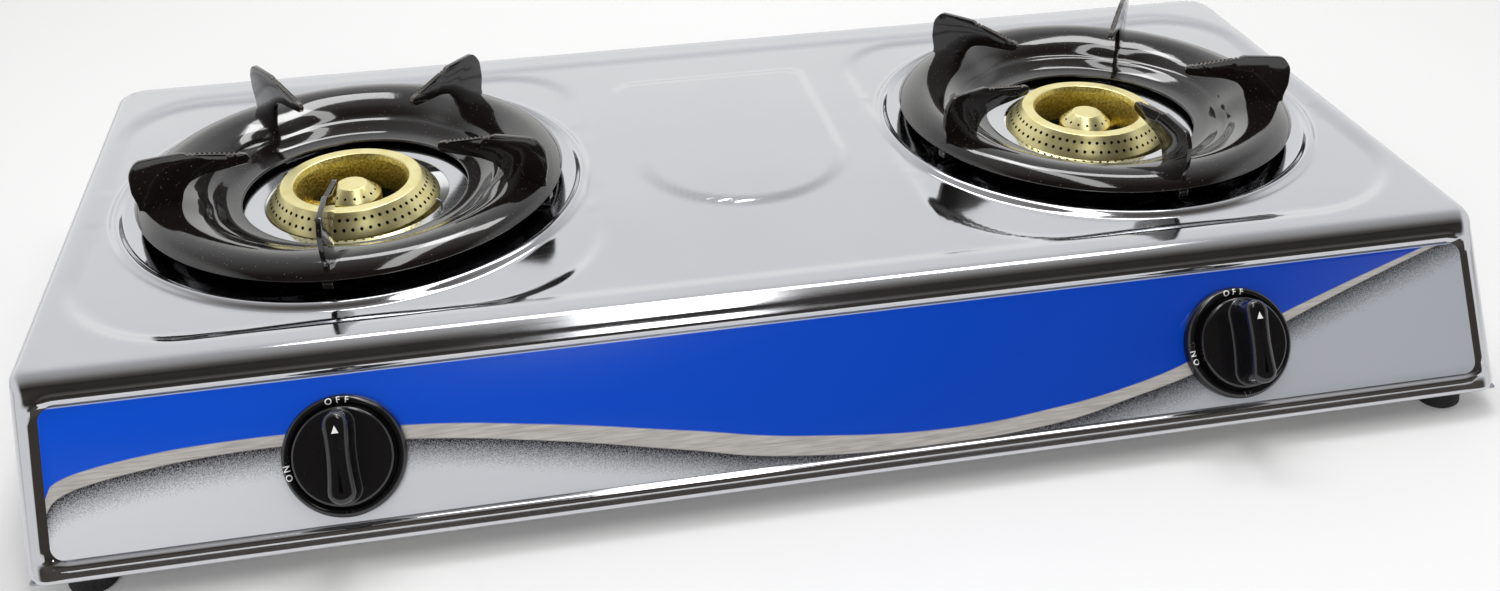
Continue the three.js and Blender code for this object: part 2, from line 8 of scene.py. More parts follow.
from __future__ import annotations
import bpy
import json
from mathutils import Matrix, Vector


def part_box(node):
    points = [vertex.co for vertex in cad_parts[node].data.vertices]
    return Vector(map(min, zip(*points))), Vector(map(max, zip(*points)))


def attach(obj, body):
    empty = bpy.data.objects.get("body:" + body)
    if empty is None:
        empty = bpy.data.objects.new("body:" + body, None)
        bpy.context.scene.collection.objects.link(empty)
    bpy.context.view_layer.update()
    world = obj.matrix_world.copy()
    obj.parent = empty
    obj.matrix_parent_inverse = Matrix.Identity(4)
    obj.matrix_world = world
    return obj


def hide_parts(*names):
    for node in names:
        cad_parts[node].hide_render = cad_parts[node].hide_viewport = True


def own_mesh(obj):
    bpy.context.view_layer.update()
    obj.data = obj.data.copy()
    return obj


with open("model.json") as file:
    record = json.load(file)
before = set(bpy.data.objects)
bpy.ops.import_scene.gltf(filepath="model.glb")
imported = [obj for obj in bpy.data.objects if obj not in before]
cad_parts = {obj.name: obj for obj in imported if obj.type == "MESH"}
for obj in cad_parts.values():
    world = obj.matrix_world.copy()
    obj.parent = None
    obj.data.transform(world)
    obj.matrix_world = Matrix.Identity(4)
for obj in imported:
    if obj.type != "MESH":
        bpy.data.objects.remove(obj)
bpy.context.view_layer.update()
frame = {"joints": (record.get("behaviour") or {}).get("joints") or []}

import json
import logging
import math
from collections.abc import Callable, Sequence
from dataclasses import dataclass, field
from enum import Enum
from typing import Any

import bmesh
import bpy
from bmesh.types import BMesh, BMVert
from mathutils import Matrix, Vector

log = logging.getLogger("stove")

MM = 0.001
SHARP_ANGLE = math.radians(34)


class Side(Enum):
    """The two ends of the stove, with the sign of X at each."""

    LEFT = -1
    RIGHT = 1

    @property
    def word(self) -> str:
        """The side's name as the CAD nodes spell it."""
        return self.name.lower()


class Slot(Enum):
    """The record's material slots."""

    STEEL = "polished_steel"
    PANEL = "printed_panel"
    ZINC = "zinc_steel"
    BRASS = "brass"
    IRON = "cast_iron"
    ENAMEL = "black_enamel"
    PLASTIC = "gloss_black_plastic"
    RUBBER = "rubber"
    CERAMIC = "white_ceramic"
    SLEEVE = "lead_sleeve"


# ---- shape helpers ----------------------------------------------------------------------------------
def smooth(value: float) -> float:
    """A soft step that rises from 0 at 0 to 1 at 1."""
    t = min(1.0, max(0.0, value))
    return t * t * (3 - 2 * t)


def rounded_box(x: float, y: float, half_x: float, half_y: float, radius: float) -> float:
    """Distance from a point to a rounded rectangle about the origin, negative inside it.

    Args:
        x: The point's first coordinate.
        y: The point's second coordinate.
        half_x: Half of the rectangle's width.
        half_y: Half of its height.
        radius: Radius of its corners.

    Returns:
        The signed distance in millimetres.
    """
    across = abs(x) - half_x + radius
    up = abs(y) - half_y + radius
    outside = math.hypot(max(across, 0.0), max(up, 0.0))
    return outside + min(max(across, up), 0.0) - radius


def filleted(corners: Sequence[tuple[float, float, float]], closed: bool = True,
             arc_step: float = 14.0) -> list[Vector]:
    """Rounds the corners of an outline with arcs.

    Args:
        corners: Each corner as its two coordinates and the radius of its arc.
        closed: Whether the outline returns to its first corner.
        arc_step: Largest turn of one chord, in degrees.

    Returns:
        The points of the rounded outline.
    """
    points: list[Vector] = []
    last = len(corners) - 1
    for i, (x, y, radius) in enumerate(corners):
        here = Vector((x, y))
        if radius == 0 or (not closed and i in (0, last)):
            points.append(here)
            continue
        before = Vector(corners[i - 1][:2]) - here
        after = Vector(corners[(i + 1) % len(corners)][:2]) - here
        half = before.angle(after) / 2
        reach = min(radius / math.tan(half), 0.49 * before.length, 0.49 * after.length)
        arc = reach * math.tan(half)
        centre = here + (before.normalized() + after.normalized()).normalized() * arc / math.sin(half)
        start = here + before.normalized() * reach - centre
        end = here + after.normalized() * reach - centre
        turn = math.atan2(start.x * end.y - start.y * end.x, start.dot(end))
        first = math.atan2(start.y, start.x)
        steps = max(2, math.ceil(abs(math.degrees(turn)) / arc_step))
        for k in range(steps + 1):
            angle = first + turn * k / steps
            points.append(centre + arc * Vector((math.cos(angle), math.sin(angle))))
    return points


def flowing(points: Sequence[tuple[float, float]], steps: int = 4) -> list[Vector]:
    """Draws a smooth curve through a few points.

    Args:
        points: The points in order.
        steps: How many stretches lie between one point and the next.

    Returns:
        Points along the curve, both ends included.
    """
    knots = [Vector(p) for p in points]
    knots = [2 * knots[0] - knots[1], *knots, 2 * knots[-1] - knots[-2]]
    curve: list[Vector] = []
    for a, b, c, d in zip(knots, knots[1:], knots[2:], knots[3:]):
        for k in range(steps):
            t = k / steps
            curve.append(0.5 * (2 * b + (c - a) * t + (2 * a - 5 * b + 4 * c - d) * t**2
                                + (3 * b - a - 3 * c + d) * t**3))
    return [*curve, knots[-2]]


def spun(profile: Sequence[Any], steps: int = 96, closed: bool = False) -> BMesh:
    """Turns a profile of (radius, height) points about Z.

    Args:
        profile: The points, from the axis to the axis, or round a closed section.
        steps: Faces round the turn.
        closed: Whether the profile is a closed section clear of the axis.

    Returns:
        The turned mesh, with its faces outwards.
    """
    bm = bmesh.new()
    verts = [bm.verts.new((p[0], 0, p[1])) for p in profile]
    edges = [bm.edges.new(pair) for pair in zip(verts, verts[1:])]
    if closed:
        edges.append(bm.edges.new((verts[-1], verts[0])))
    bmesh.ops.spin(bm, geom=verts + edges, cent=(0, 0, 0), axis=(0, 0, 1), angle=math.tau,
                   steps=steps, use_merge=True, use_duplicate=False)
    bmesh.ops.remove_doubles(bm, verts=bm.verts[:], dist=1e-3)
    bmesh.ops.recalc_face_normals(bm, faces=bm.faces[:])
    return bm


def plate(outline: Sequence[Vector], thickness: float, rounding: float, segments: int = 3) -> BMesh:
    """Makes a flat plate with rounded edges, centred on its own plane.

    Args:
        outline: The plate's outline in X and Y.
        thickness: Its thickness along Z.
        rounding: Radius of its long edges.
        segments: Faces across each rounded edge.

    Returns:
        The plate's mesh.
    """
    bm = bmesh.new()
    face = bm.faces.new([bm.verts.new((p.x, p.y, -thickness / 2)) for p in outline])
    top = bmesh.ops.extrude_face_region(bm, geom=[face])["geom"]
    bmesh.ops.translate(bm, vec=(0, 0, thickness), verts=[v for v in top if isinstance(v, BMVert)])
    rims = [e for e in bm.edges if abs(e.verts[0].co.z - e.verts[1].co.z) < thickness / 2]
    bmesh.ops.bevel(bm, geom=rims, offset=rounding, segments=segments, profile=0.5, affect="EDGES",
                    material=-1, clamp_overlap=True)
    bmesh.ops.recalc_face_normals(bm, faces=bm.faces[:])
    return bm


def extrude_loop(bm: BMesh, loop: list[BMVert], places: Sequence[Vector]) -> list[BMVert]:
    """Extrudes a closed loop of vertices to new places.

    Args:
        bm: The mesh.
        loop: The loop's vertices in order.
        places: Where each new vertex goes.

    Returns:
        The new loop, in the same order.
    """
    edges = [bm.edges.get(pair) for pair in zip(loop, loop[1:] + loop[:1])]
    made = bmesh.ops.extrude_edge_only(bm, edges=edges)["geom"]
    new = {v for v in made if isinstance(v, BMVert)}
    following: list[BMVert] = []
    for old, place in zip(loop, places):
        vert = next(e.other_vert(old) for e in old.link_edges if e.other_vert(old) in new)
        vert.co = place
        following.append(vert)
    return following


def ordered_loops(verts: set[BMVert]) -> list[list[BMVert]]:
    """Sorts boundary vertices into closed loops, each walked along its edges."""
    left = set(verts)
    loops: list[list[BMVert]] = []
    while left:
        here = min(left, key=lambda v: (v.co.x, v.co.y, v.co.z))
        loop = [here]
        left.discard(here)
        while True:
            beside = [e.other_vert(here) for e in here.link_edges if e.is_boundary]
            ahead = [v for v in beside if v in left]
            if not ahead:
                break
            here = min(ahead, key=lambda v: (v.co.y, v.co.x)) if len(loop) == 1 else ahead[0]
            left.discard(here)
            loop.append(here)
        loops.append(loop)
    return loops


@dataclass
class Placing:
    """Where a finished piece belongs: its body, record slot and the CAD nodes that it stands for."""

    body: str
    slot: Slot
    nodes: tuple[str, ...] = ()


def finished(bm: BMesh, name: str, materials: Sequence[bpy.types.Material], placing: Placing,
             at: Matrix | None = None) -> bpy.types.Object:
    """Turns a mesh in millimetres into a piece of the stove.

    Args:
        bm: The mesh, which is freed.
        name: The piece's name.
        materials: Its materials, by the faces' material index.
        placing: Its body, slot and CAD nodes.
        at: Its place in millimetres, if it was drawn about its own axis.

    Returns:
        The finished object.
    """
    if at is not None:
        bmesh.ops.transform(bm, matrix=at, verts=bm.verts[:])
    bmesh.ops.scale(bm, vec=(MM, MM, MM), verts=bm.verts[:])
    for face in bm.faces:
        face.smooth = True
    for edge in bm.edges:
        if len(edge.link_faces) == 2 and edge.calc_face_angle(0.0) > SHARP_ANGLE:
            edge.smooth = False
    mesh = bpy.data.meshes.new(name)
    bm.to_mesh(mesh)
    bm.free()
    for material in materials:
        mesh.materials.append(material)
    piece = bpy.data.objects.new(name, mesh)
    bpy.context.scene.collection.objects.link(piece)
    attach(piece, placing.body)
    if placing.nodes:
        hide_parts(*placing.nodes)
    log.info("%s: %d faces on %s", name, len(mesh.polygons), placing.body)
    return piece


def polar(place: Vector) -> float:
    """The direction of a place from the Z axis, in radians."""
    return math.atan2(place.y, place.x)


def centre_of(node: str) -> Vector:
    """The middle of a CAD node's box, in millimetres."""
    low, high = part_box(node)
    return (low + high) / 2 / MM


# ---- finishes ---------------------------------------------------------------------------------------
def linear(code: str, alpha: float = 1.0) -> tuple[float, float, float, float]:
    """Turns an sRGB hex colour into linear red, green, blue and alpha."""
    channels = [int(code[i:i + 2], 16) / 255 for i in (1, 3, 5)]
    red, green, blue = [c / 12.92 if c <= 0.04045 else ((c + 0.055) / 1.055) ** 2.4 for c in channels]
    return red, green, blue, alpha


def add(tree: bpy.types.NodeTree, kind: str, inputs: dict[str | int, Any] | None = None,
        **settings: Any) -> bpy.types.Node:
    """Adds a node with its settings, values and links.

    Args:
        tree: The node tree.
        kind: The node's type.
        inputs: A value or another node's output for each named or numbered socket.
        **settings: The node's own properties.

    Returns:
        The new node.
    """
    node = tree.nodes.new(kind)
    for key, value in settings.items():
        setattr(node, key, value)
    for key, value in (inputs or {}).items():
        if isinstance(value, bpy.types.NodeSocket):
            tree.links.new(value, node.inputs[key])
        else:
            node.inputs[key].default_value = value
    return node


@dataclass(frozen=True)
class Finish:
    """A surface finish: what it is made of, its colour and how it shines."""

    name: str
    colour: str
    roughness: float
    metallic: float = 0.0
    coat: float = 0.0
    coat_roughness: float = 0.03
    ior: float = 1.5

    def material(self) -> bpy.types.Material:
        """Builds the finish as a material on Object coordinates."""
        material = bpy.data.materials.new(self.name)
        material.use_nodes = True
        tree = material.node_tree
        tree.nodes.clear()
        shader = add(tree, "ShaderNodeBsdfPrincipled", {
            "Base Color": linear(self.colour), "Roughness": self.roughness, "Metallic": self.metallic,
            "Coat Weight": self.coat, "Coat Roughness": self.coat_roughness, "IOR": self.ior})
        add(tree, "ShaderNodeOutputMaterial", {"Surface": shader.outputs["BSDF"]})
        place = add(tree, "ShaderNodeTexCoord").outputs["Object"]
        self.dress(tree, shader, place)
        return material

    def dress(self, tree: bpy.types.NodeTree, shader: bpy.types.Node, place: bpy.types.NodeSocket) -> None:
        """Adds the finish's own pattern; each kind of finish has its own."""
        raise NotImplementedError

    def noise(self, tree: bpy.types.NodeTree, place: bpy.types.NodeSocket, grain: float,
              detail: float = 3.0) -> bpy.types.NodeSocket:
        """A soft cloud pattern whose blotches are about `grain` millimetres across."""
        return add(tree, "ShaderNodeTexNoise", {"Vector": place, "Scale": 1 / (grain * MM),
                                                "Detail": detail}).outputs["Fac"]

    def spread(self, tree: bpy.types.NodeTree, value: bpy.types.NodeSocket, low: float, high: float,
               start: float = 0.3, end: float = 0.7) -> bpy.types.NodeSocket:
        """Maps a pattern's middle range to the range from low to high."""
        return add(tree, "ShaderNodeMapRange", {"Value": value, "From Min": start, "From Max": end,
                                                "To Min": low, "To Max": high}).outputs["Result"]

    def relief(self, tree: bpy.types.NodeTree, shader: bpy.types.Node, height: bpy.types.NodeSocket,
               depth: float, strength: float = 1.0) -> None:
        """Gives the shader a bump of a depth in millimetres."""
        bump = add(tree, "ShaderNodeBump", {"Height": height, "Distance": depth * MM, "Strength": strength})
        tree.links.new(bump.outputs["Normal"], shader.inputs["Normal"])

    def blend(self, tree: bpy.types.NodeTree, factor: Any, first: Any, second: Any) -> bpy.types.NodeSocket:
        """Mixes two colours by a factor."""
        mix = add(tree, "ShaderNodeMix", data_type="RGBA")
        for index, value in ((0, factor), (6, first), (7, second)):
            if isinstance(value, bpy.types.NodeSocket):
                tree.links.new(value, mix.inputs[index])
            else:
                mix.inputs[index].default_value = value
        return mix.outputs[2]


@dataclass(frozen=True)
class PolishedSheet(Finish):
    """Stainless sheet polished along its length: near-mirror, with hair lines and hand smudges."""

    line_width: float = 0.9

    def dress(self, tree: bpy.types.NodeTree, shader: bpy.types.Node, place: bpy.types.NodeSocket) -> None:
        """Adds polishing lines along X and a faint change of gloss."""
        long_way = add(tree, "ShaderNodeMapping", {"Vector": place, "Scale": (0.012, 1, 1)}).outputs[0]
        lines = self.noise(tree, long_way, self.line_width, 2)
        smudges = self.noise(tree, place, 70)
        gloss = self.spread(tree, smudges, self.roughness * 0.8, self.roughness * 1.5)
        streaks = self.spread(tree, lines, -0.015, 0.02)
        total = add(tree, "ShaderNodeMath", {0: gloss, 1: streaks}, operation="ADD").outputs[0]
        tree.links.new(total, shader.inputs["Roughness"])
        tint = self.blend(tree, smudges, linear(self.colour), linear("#D3D4D8"))
        tree.links.new(tint, shader.inputs["Base Color"])
        self.relief(tree, shader, lines, 0.012, 0.35)


@dataclass(frozen=True)
class CastMetal(Finish):
    """Sand-cast metal: a pitted, grainy skin with darker hollows."""

    grain: float = 1.3
    depth: float = 0.16
    hollow: str = "#D2B64C"

    def dress(self, tree: bpy.types.NodeTree, shader: bpy.types.Node, place: bpy.types.NodeSocket) -> None:
        """Adds the grain of the mould and its colour change."""
        grains = self.noise(tree, place, self.grain, 5)
        pits = add(tree, "ShaderNodeTexVoronoi", {"Vector": place, "Scale": 1 / (self.grain * MM)})
        height = add(tree, "ShaderNodeMath", {0: grains, 1: pits.outputs["Distance"]}, operation="ADD")
        shade = self.spread(tree, grains, 0, 1, 0.38, 0.6)
        colour = self.blend(tree, shade, linear(self.hollow), linear(self.colour))
        tree.links.new(colour, shader.inputs["Base Color"])
        tree.links.new(self.spread(tree, grains, self.roughness * 0.8, self.roughness * 1.3),
                       shader.inputs["Roughness"])
        self.relief(tree, shader, height.outputs[0], self.depth)


@dataclass(frozen=True)
class MachinedMetal(Finish):
    """Turned or rolled metal: satin, with a fine grain and slight staining."""

    stain: str = "#8A8C8E"
    grain: float = 0.5

    def dress(self, tree: bpy.types.NodeTree, shader: bpy.types.Node, place: bpy.types.NodeSocket) -> None:
        """Adds the tool's fine grain and broad stains."""
        stains = self.spread(tree, self.noise(tree, place, 9), 0, 0.6, 0.42, 0.75)
        colour = self.blend(tree, stains, linear(self.colour), linear(self.stain))
        tree.links.new(colour, shader.inputs["Base Color"])
        grains = self.noise(tree, place, self.grain, 3)
        tree.links.new(self.spread(tree, grains, self.roughness * 0.85, self.roughness * 1.2),
                       shader.inputs["Roughness"])
        self.relief(tree, shader, grains, 0.02, 0.5)


@dataclass(frozen=True)
class VitreousEnamel(Finish):
    """Fired enamel on pressed steel: deep gloss, a soft orange peel and pale specks in the glass."""

    speck: str = "#8F8880"

    def dress(self, tree: bpy.types.NodeTree, shader: bpy.types.Node, place: bpy.types.NodeSocket) -> None:
        """Adds specks about half a millimetre across and the peel."""
        specks = add(tree, "ShaderNodeTexVoronoi", {"Vector": place, "Scale": 1 / (2.6 * MM)})
        spots = self.spread(tree, specks.outputs["Distance"], 0.55, 0, 0.06, 0.12)
        cloud = self.blend(tree, self.noise(tree, place, 22), linear(self.colour), linear("#120F0E"))
        colour = self.blend(tree, spots, cloud, linear(self.speck))
        tree.links.new(colour, shader.inputs["Base Color"])
        peel = self.noise(tree, place, 5, 2)
        tree.links.new(self.spread(tree, peel, self.roughness, self.roughness * 1.6),
                       shader.inputs["Roughness"])
        self.relief(tree, shader, peel, 0.03, 0.6)


@dataclass(frozen=True)
class MouldedPlastic(Finish):
    """Moulded plastic or rubber: an even colour with the mould's faint texture and a little dust."""

    grain: float = 3.0
    depth: float = 0.006
    dust: str = "#6B6B6E"

    def dress(self, tree: bpy.types.NodeTree, shader: bpy.types.Node, place: bpy.types.NodeSocket) -> None:
        """Adds dust specks and the mould's texture."""
        specks = add(tree, "ShaderNodeTexVoronoi", {"Vector": place, "Scale": 1 / (3.4 * MM)})
        spots = self.spread(tree, specks.outputs["Distance"], 0.4, 0, 0.03, 0.06)
        tree.links.new(self.blend(tree, spots, linear(self.colour), linear(self.dust)),
                       shader.inputs["Base Color"])
        texture = self.noise(tree, place, self.grain, 2)
        tree.links.new(self.spread(tree, texture, self.roughness * 0.9, self.roughness * 1.3),
                       shader.inputs["Roughness"])
        self.relief(tree, shader, texture, self.depth)


@dataclass(frozen=True)
class PrintedSheet(Finish):
    """Gloss printed sheet: a blue field over a brushed grey wave, then silver with a grainy shadow."""

    top: tuple[float, float] = (-142.9, 74.0)
    slope: tuple[float, float] = (-0.5764, -0.8171)
    half_length: float = 338.0
    height: float = 65.9
    # The wave's lower edges, as shares of the panel's length and height.
    blue_edge: tuple[tuple[float, float], ...] = (
        (0.0, 0.6), (0.065, 0.385), (0.15, 0.362), (0.23, 0.4), (0.31, 0.5), (0.41, 0.675),
        (0.5, 0.83), (0.6, 0.9), (0.67, 0.855), (0.735, 0.755), (0.8, 0.56), (0.865, 0.335), (0.965, 0.025))
    grey_edge: tuple[tuple[float, float], ...] = (
        (0.0, 0.69), (0.065, 0.475), (0.15, 0.437), (0.23, 0.495), (0.31, 0.61), (0.41, 0.81),
        (0.48, 0.945), (0.56, 1.0), (0.645, 0.985), (0.735, 0.84), (0.8, 0.67), (0.865, 0.4), (0.975, 0.028))

    def curve(self, tree: bpy.types.NodeTree, value: bpy.types.NodeSocket,
              points: Sequence[tuple[float, float]]) -> bpy.types.NodeSocket:
        """Draws a smooth line over the panel's length through a few points."""
        node = add(tree, "ShaderNodeFloatCurve", {"Value": value})
        line = node.mapping.curves[0]
        line.points[0].location = points[0]
        line.points[1].location = points[-1]
        for point in points[1:-1]:
            line.points.new(*point)
        node.mapping.extend = "EXTRAPOLATED"
        node.mapping.update()
        return node.outputs[0]

    def dress(self, tree: bpy.types.NodeTree, shader: bpy.types.Node, place: bpy.types.NodeSocket) -> None:
        """Prints the wave and its shadow, and paints a pale highlight line along the upper edge."""
        across = add(tree, "ShaderNodeSeparateXYZ", {"Vector": place}).outputs["X"]
        share = add(tree, "ShaderNodeMapRange", {"Value": across, "From Min": -self.half_length * MM,
                                                 "From Max": self.half_length * MM}).outputs["Result"]
        start = Vector((0, *self.top)) * MM
        reach = add(tree, "ShaderNodeVectorMath", {0: place, 1: start}, operation="SUBTRACT").outputs[0]
        down = add(tree, "ShaderNodeVectorMath", {0: reach, 1: (0, *self.slope)}, operation="DOT_PRODUCT")
        depth = add(tree, "ShaderNodeMath", {0: down.outputs["Value"], 1: self.height * MM},
                    operation="DIVIDE").outputs[0]
        below_blue = add(tree, "ShaderNodeMath", {0: depth, 1: self.curve(tree, share, self.blue_edge)},
                         operation="SUBTRACT").outputs[0]
        below_grey = add(tree, "ShaderNodeMath", {0: depth, 1: self.curve(tree, share, self.grey_edge)},
                         operation="SUBTRACT").outputs[0]
        edge = 0.3 / self.height
        in_grey = self.spread(tree, below_blue, 0, 1, -edge, edge)
        in_silver = self.spread(tree, below_grey, 0, 1, -edge, edge)
        # The print's own brushing: fine lines along the panel, coarse enough to show.
        long_way = add(tree, "ShaderNodeMapping", {"Vector": place, "Scale": (0.05, 1, 1)}).outputs[0]
        brushing = self.noise(tree, long_way, 0.8, 2)
        grey = self.blend(tree, self.spread(tree, brushing, 0, 1), linear("#A5A19D"), linear("#C6C2BE"))
        silver = self.blend(tree, share, linear("#DADCE1"), linear("#A9ADB5"))
        grain = self.noise(tree, place, 0.5, 1)
        ragged = self.spread(tree, grain, -0.05, 0.05)
        lifted = add(tree, "ShaderNodeMath", {0: below_grey, 1: ragged}, operation="ADD").outputs[0]
        fade = self.spread(tree, lifted, 0, 1, 0.0, 0.2)
        shaded = self.blend(tree, fade, linear("#26262A"), silver)
        blue = self.blend(tree, share, linear("#0A50D2"), linear("#063CAE"))
        colour = self.blend(tree, in_silver, self.blend(tree, in_grey, blue, grey), shaded)
        # Painted highlight: a pale line along the panel's upper edge, where the rolled edge catches the
        # light.
        line = self.spread(tree, depth, 1, 0, 0.004, 0.011)
        colour = self.blend(tree, line, colour, linear("#B9C4DC"))
        tree.links.new(colour, shader.inputs["Base Color"])
        tree.links.new(self.spread(tree, brushing, self.roughness, self.roughness * 1.15, 0, 1),
                       shader.inputs["Roughness"])
        self.relief(tree, shader, brushing, 0.01, 0.2)


@dataclass
class Finishes:
    """Every finish of the stove, built once as a material."""

    # Polished stainless sheet: mirror-like, and a little warm where it is handled.
    steel: bpy.types.Material = field(default_factory=lambda: PolishedSheet(
        "polished_stainless_sheet", "#CBCCD0", 0.085, 1.0).material())
    # Printed decorative sheet under a gloss lacquer.
    panel: bpy.types.Material = field(default_factory=lambda: PrintedSheet(
        "printed_lacquered_sheet", "#0B55DE", 0.22, 0.0, coat=0.5).material())
    # Machined, lacquered brass: pale gold and satin.
    brass: bpy.types.Material = field(default_factory=lambda: MachinedMetal(
        "machined_brass", "#F2E8AE", 0.33, 1.0, stain="#E0D084").material())
    # The same brass as it left the sand mould: deeper gold and pitted.
    cast_brass: bpy.types.Material = field(default_factory=lambda: CastMetal(
        "sand_cast_brass", "#F7E88F", 0.42, 1.0).material())
    # Port bores: blackened by the flame, and darkened further as painted shade inside the small holes.
    soot: bpy.types.Material = field(default_factory=lambda: MouldedPlastic(
        "sooted_flame_bore", "#0D0B08", 0.8, dust="#2A241A").material())
    # Fired enamel: brown-black glass, the deepest gloss on the stove.
    enamel: bpy.types.Material = field(default_factory=lambda: VitreousEnamel(
        "fired_vitreous_enamel", "#191514", 0.07, coat=0.6, coat_roughness=0.02, ior=1.55).material())
    # The same enamel on the teeth's upper faces: rubbed thin by pans, grey and less glossy, and paler still
    # as a painted highlight where the tops face the light.
    rubbed_enamel: bpy.types.Material = field(default_factory=lambda: VitreousEnamel(
        "rubbed_vitreous_enamel", "#77716C", 0.22, speck="#B9B4AE").material())
    # Polished moulded ABS: black with sharp highlights.
    plastic: bpy.types.Material = field(default_factory=lambda: MouldedPlastic(
        "polished_black_plastic", "#121113", 0.14, coat=0.4).material())
    # Pad-printed white marks: flat and slightly raised.
    print_white: bpy.types.Material = field(default_factory=lambda: MouldedPlastic(
        "pad_printed_white", "#F1F1EF", 0.45, dust="#C8C8C4").material())
    # Zinc-plated pressings: a cold grey with a soft spangle.
    zinc: bpy.types.Material = field(default_factory=lambda: MachinedMetal(
        "zinc_plated_steel", "#A9ADB2", 0.38, 1.0, grain=1.4).material())
    # Sand-cast iron: dark, dull and grainy.
    iron: bpy.types.Material = field(default_factory=lambda: CastMetal(
        "sand_cast_iron", "#4A4C50", 0.65, 0.7, hollow="#232426", depth=0.2).material())
    # Moulded rubber: matt black with a coarse mould texture.
    rubber: bpy.types.Material = field(default_factory=lambda: MouldedPlastic(
        "moulded_rubber", "#1C1C1D", 0.75, grain=0.9, depth=0.04).material())
    # Glazed porcelain insulator: off-white under a clear glaze.
    ceramic: bpy.types.Material = field(default_factory=lambda: MouldedPlastic(
        "glazed_porcelain", "#EDEAE0", 0.16, coat=0.5, dust="#CFC8B8").material())
    # Silicone sleeve of the ignition lead: soft red.
    sleeve: bpy.types.Material = field(default_factory=lambda: MouldedPlastic(
        "silicone_sleeve", "#8E231B", 0.5, grain=1.2, depth=0.02).material())


# ---- body -------------------------------------------------------------------------------------------
@dataclass
class RimLevel:
    """One ring of the body's walls: a rounded rectangle at one height."""

    half: float
    front: float
    rear: float
    side_z: float
    front_z: float
    front_radius: float
    rear_radius: float
    down: float = -100.0  # distance below the panel's upper edge, for levels on the slope


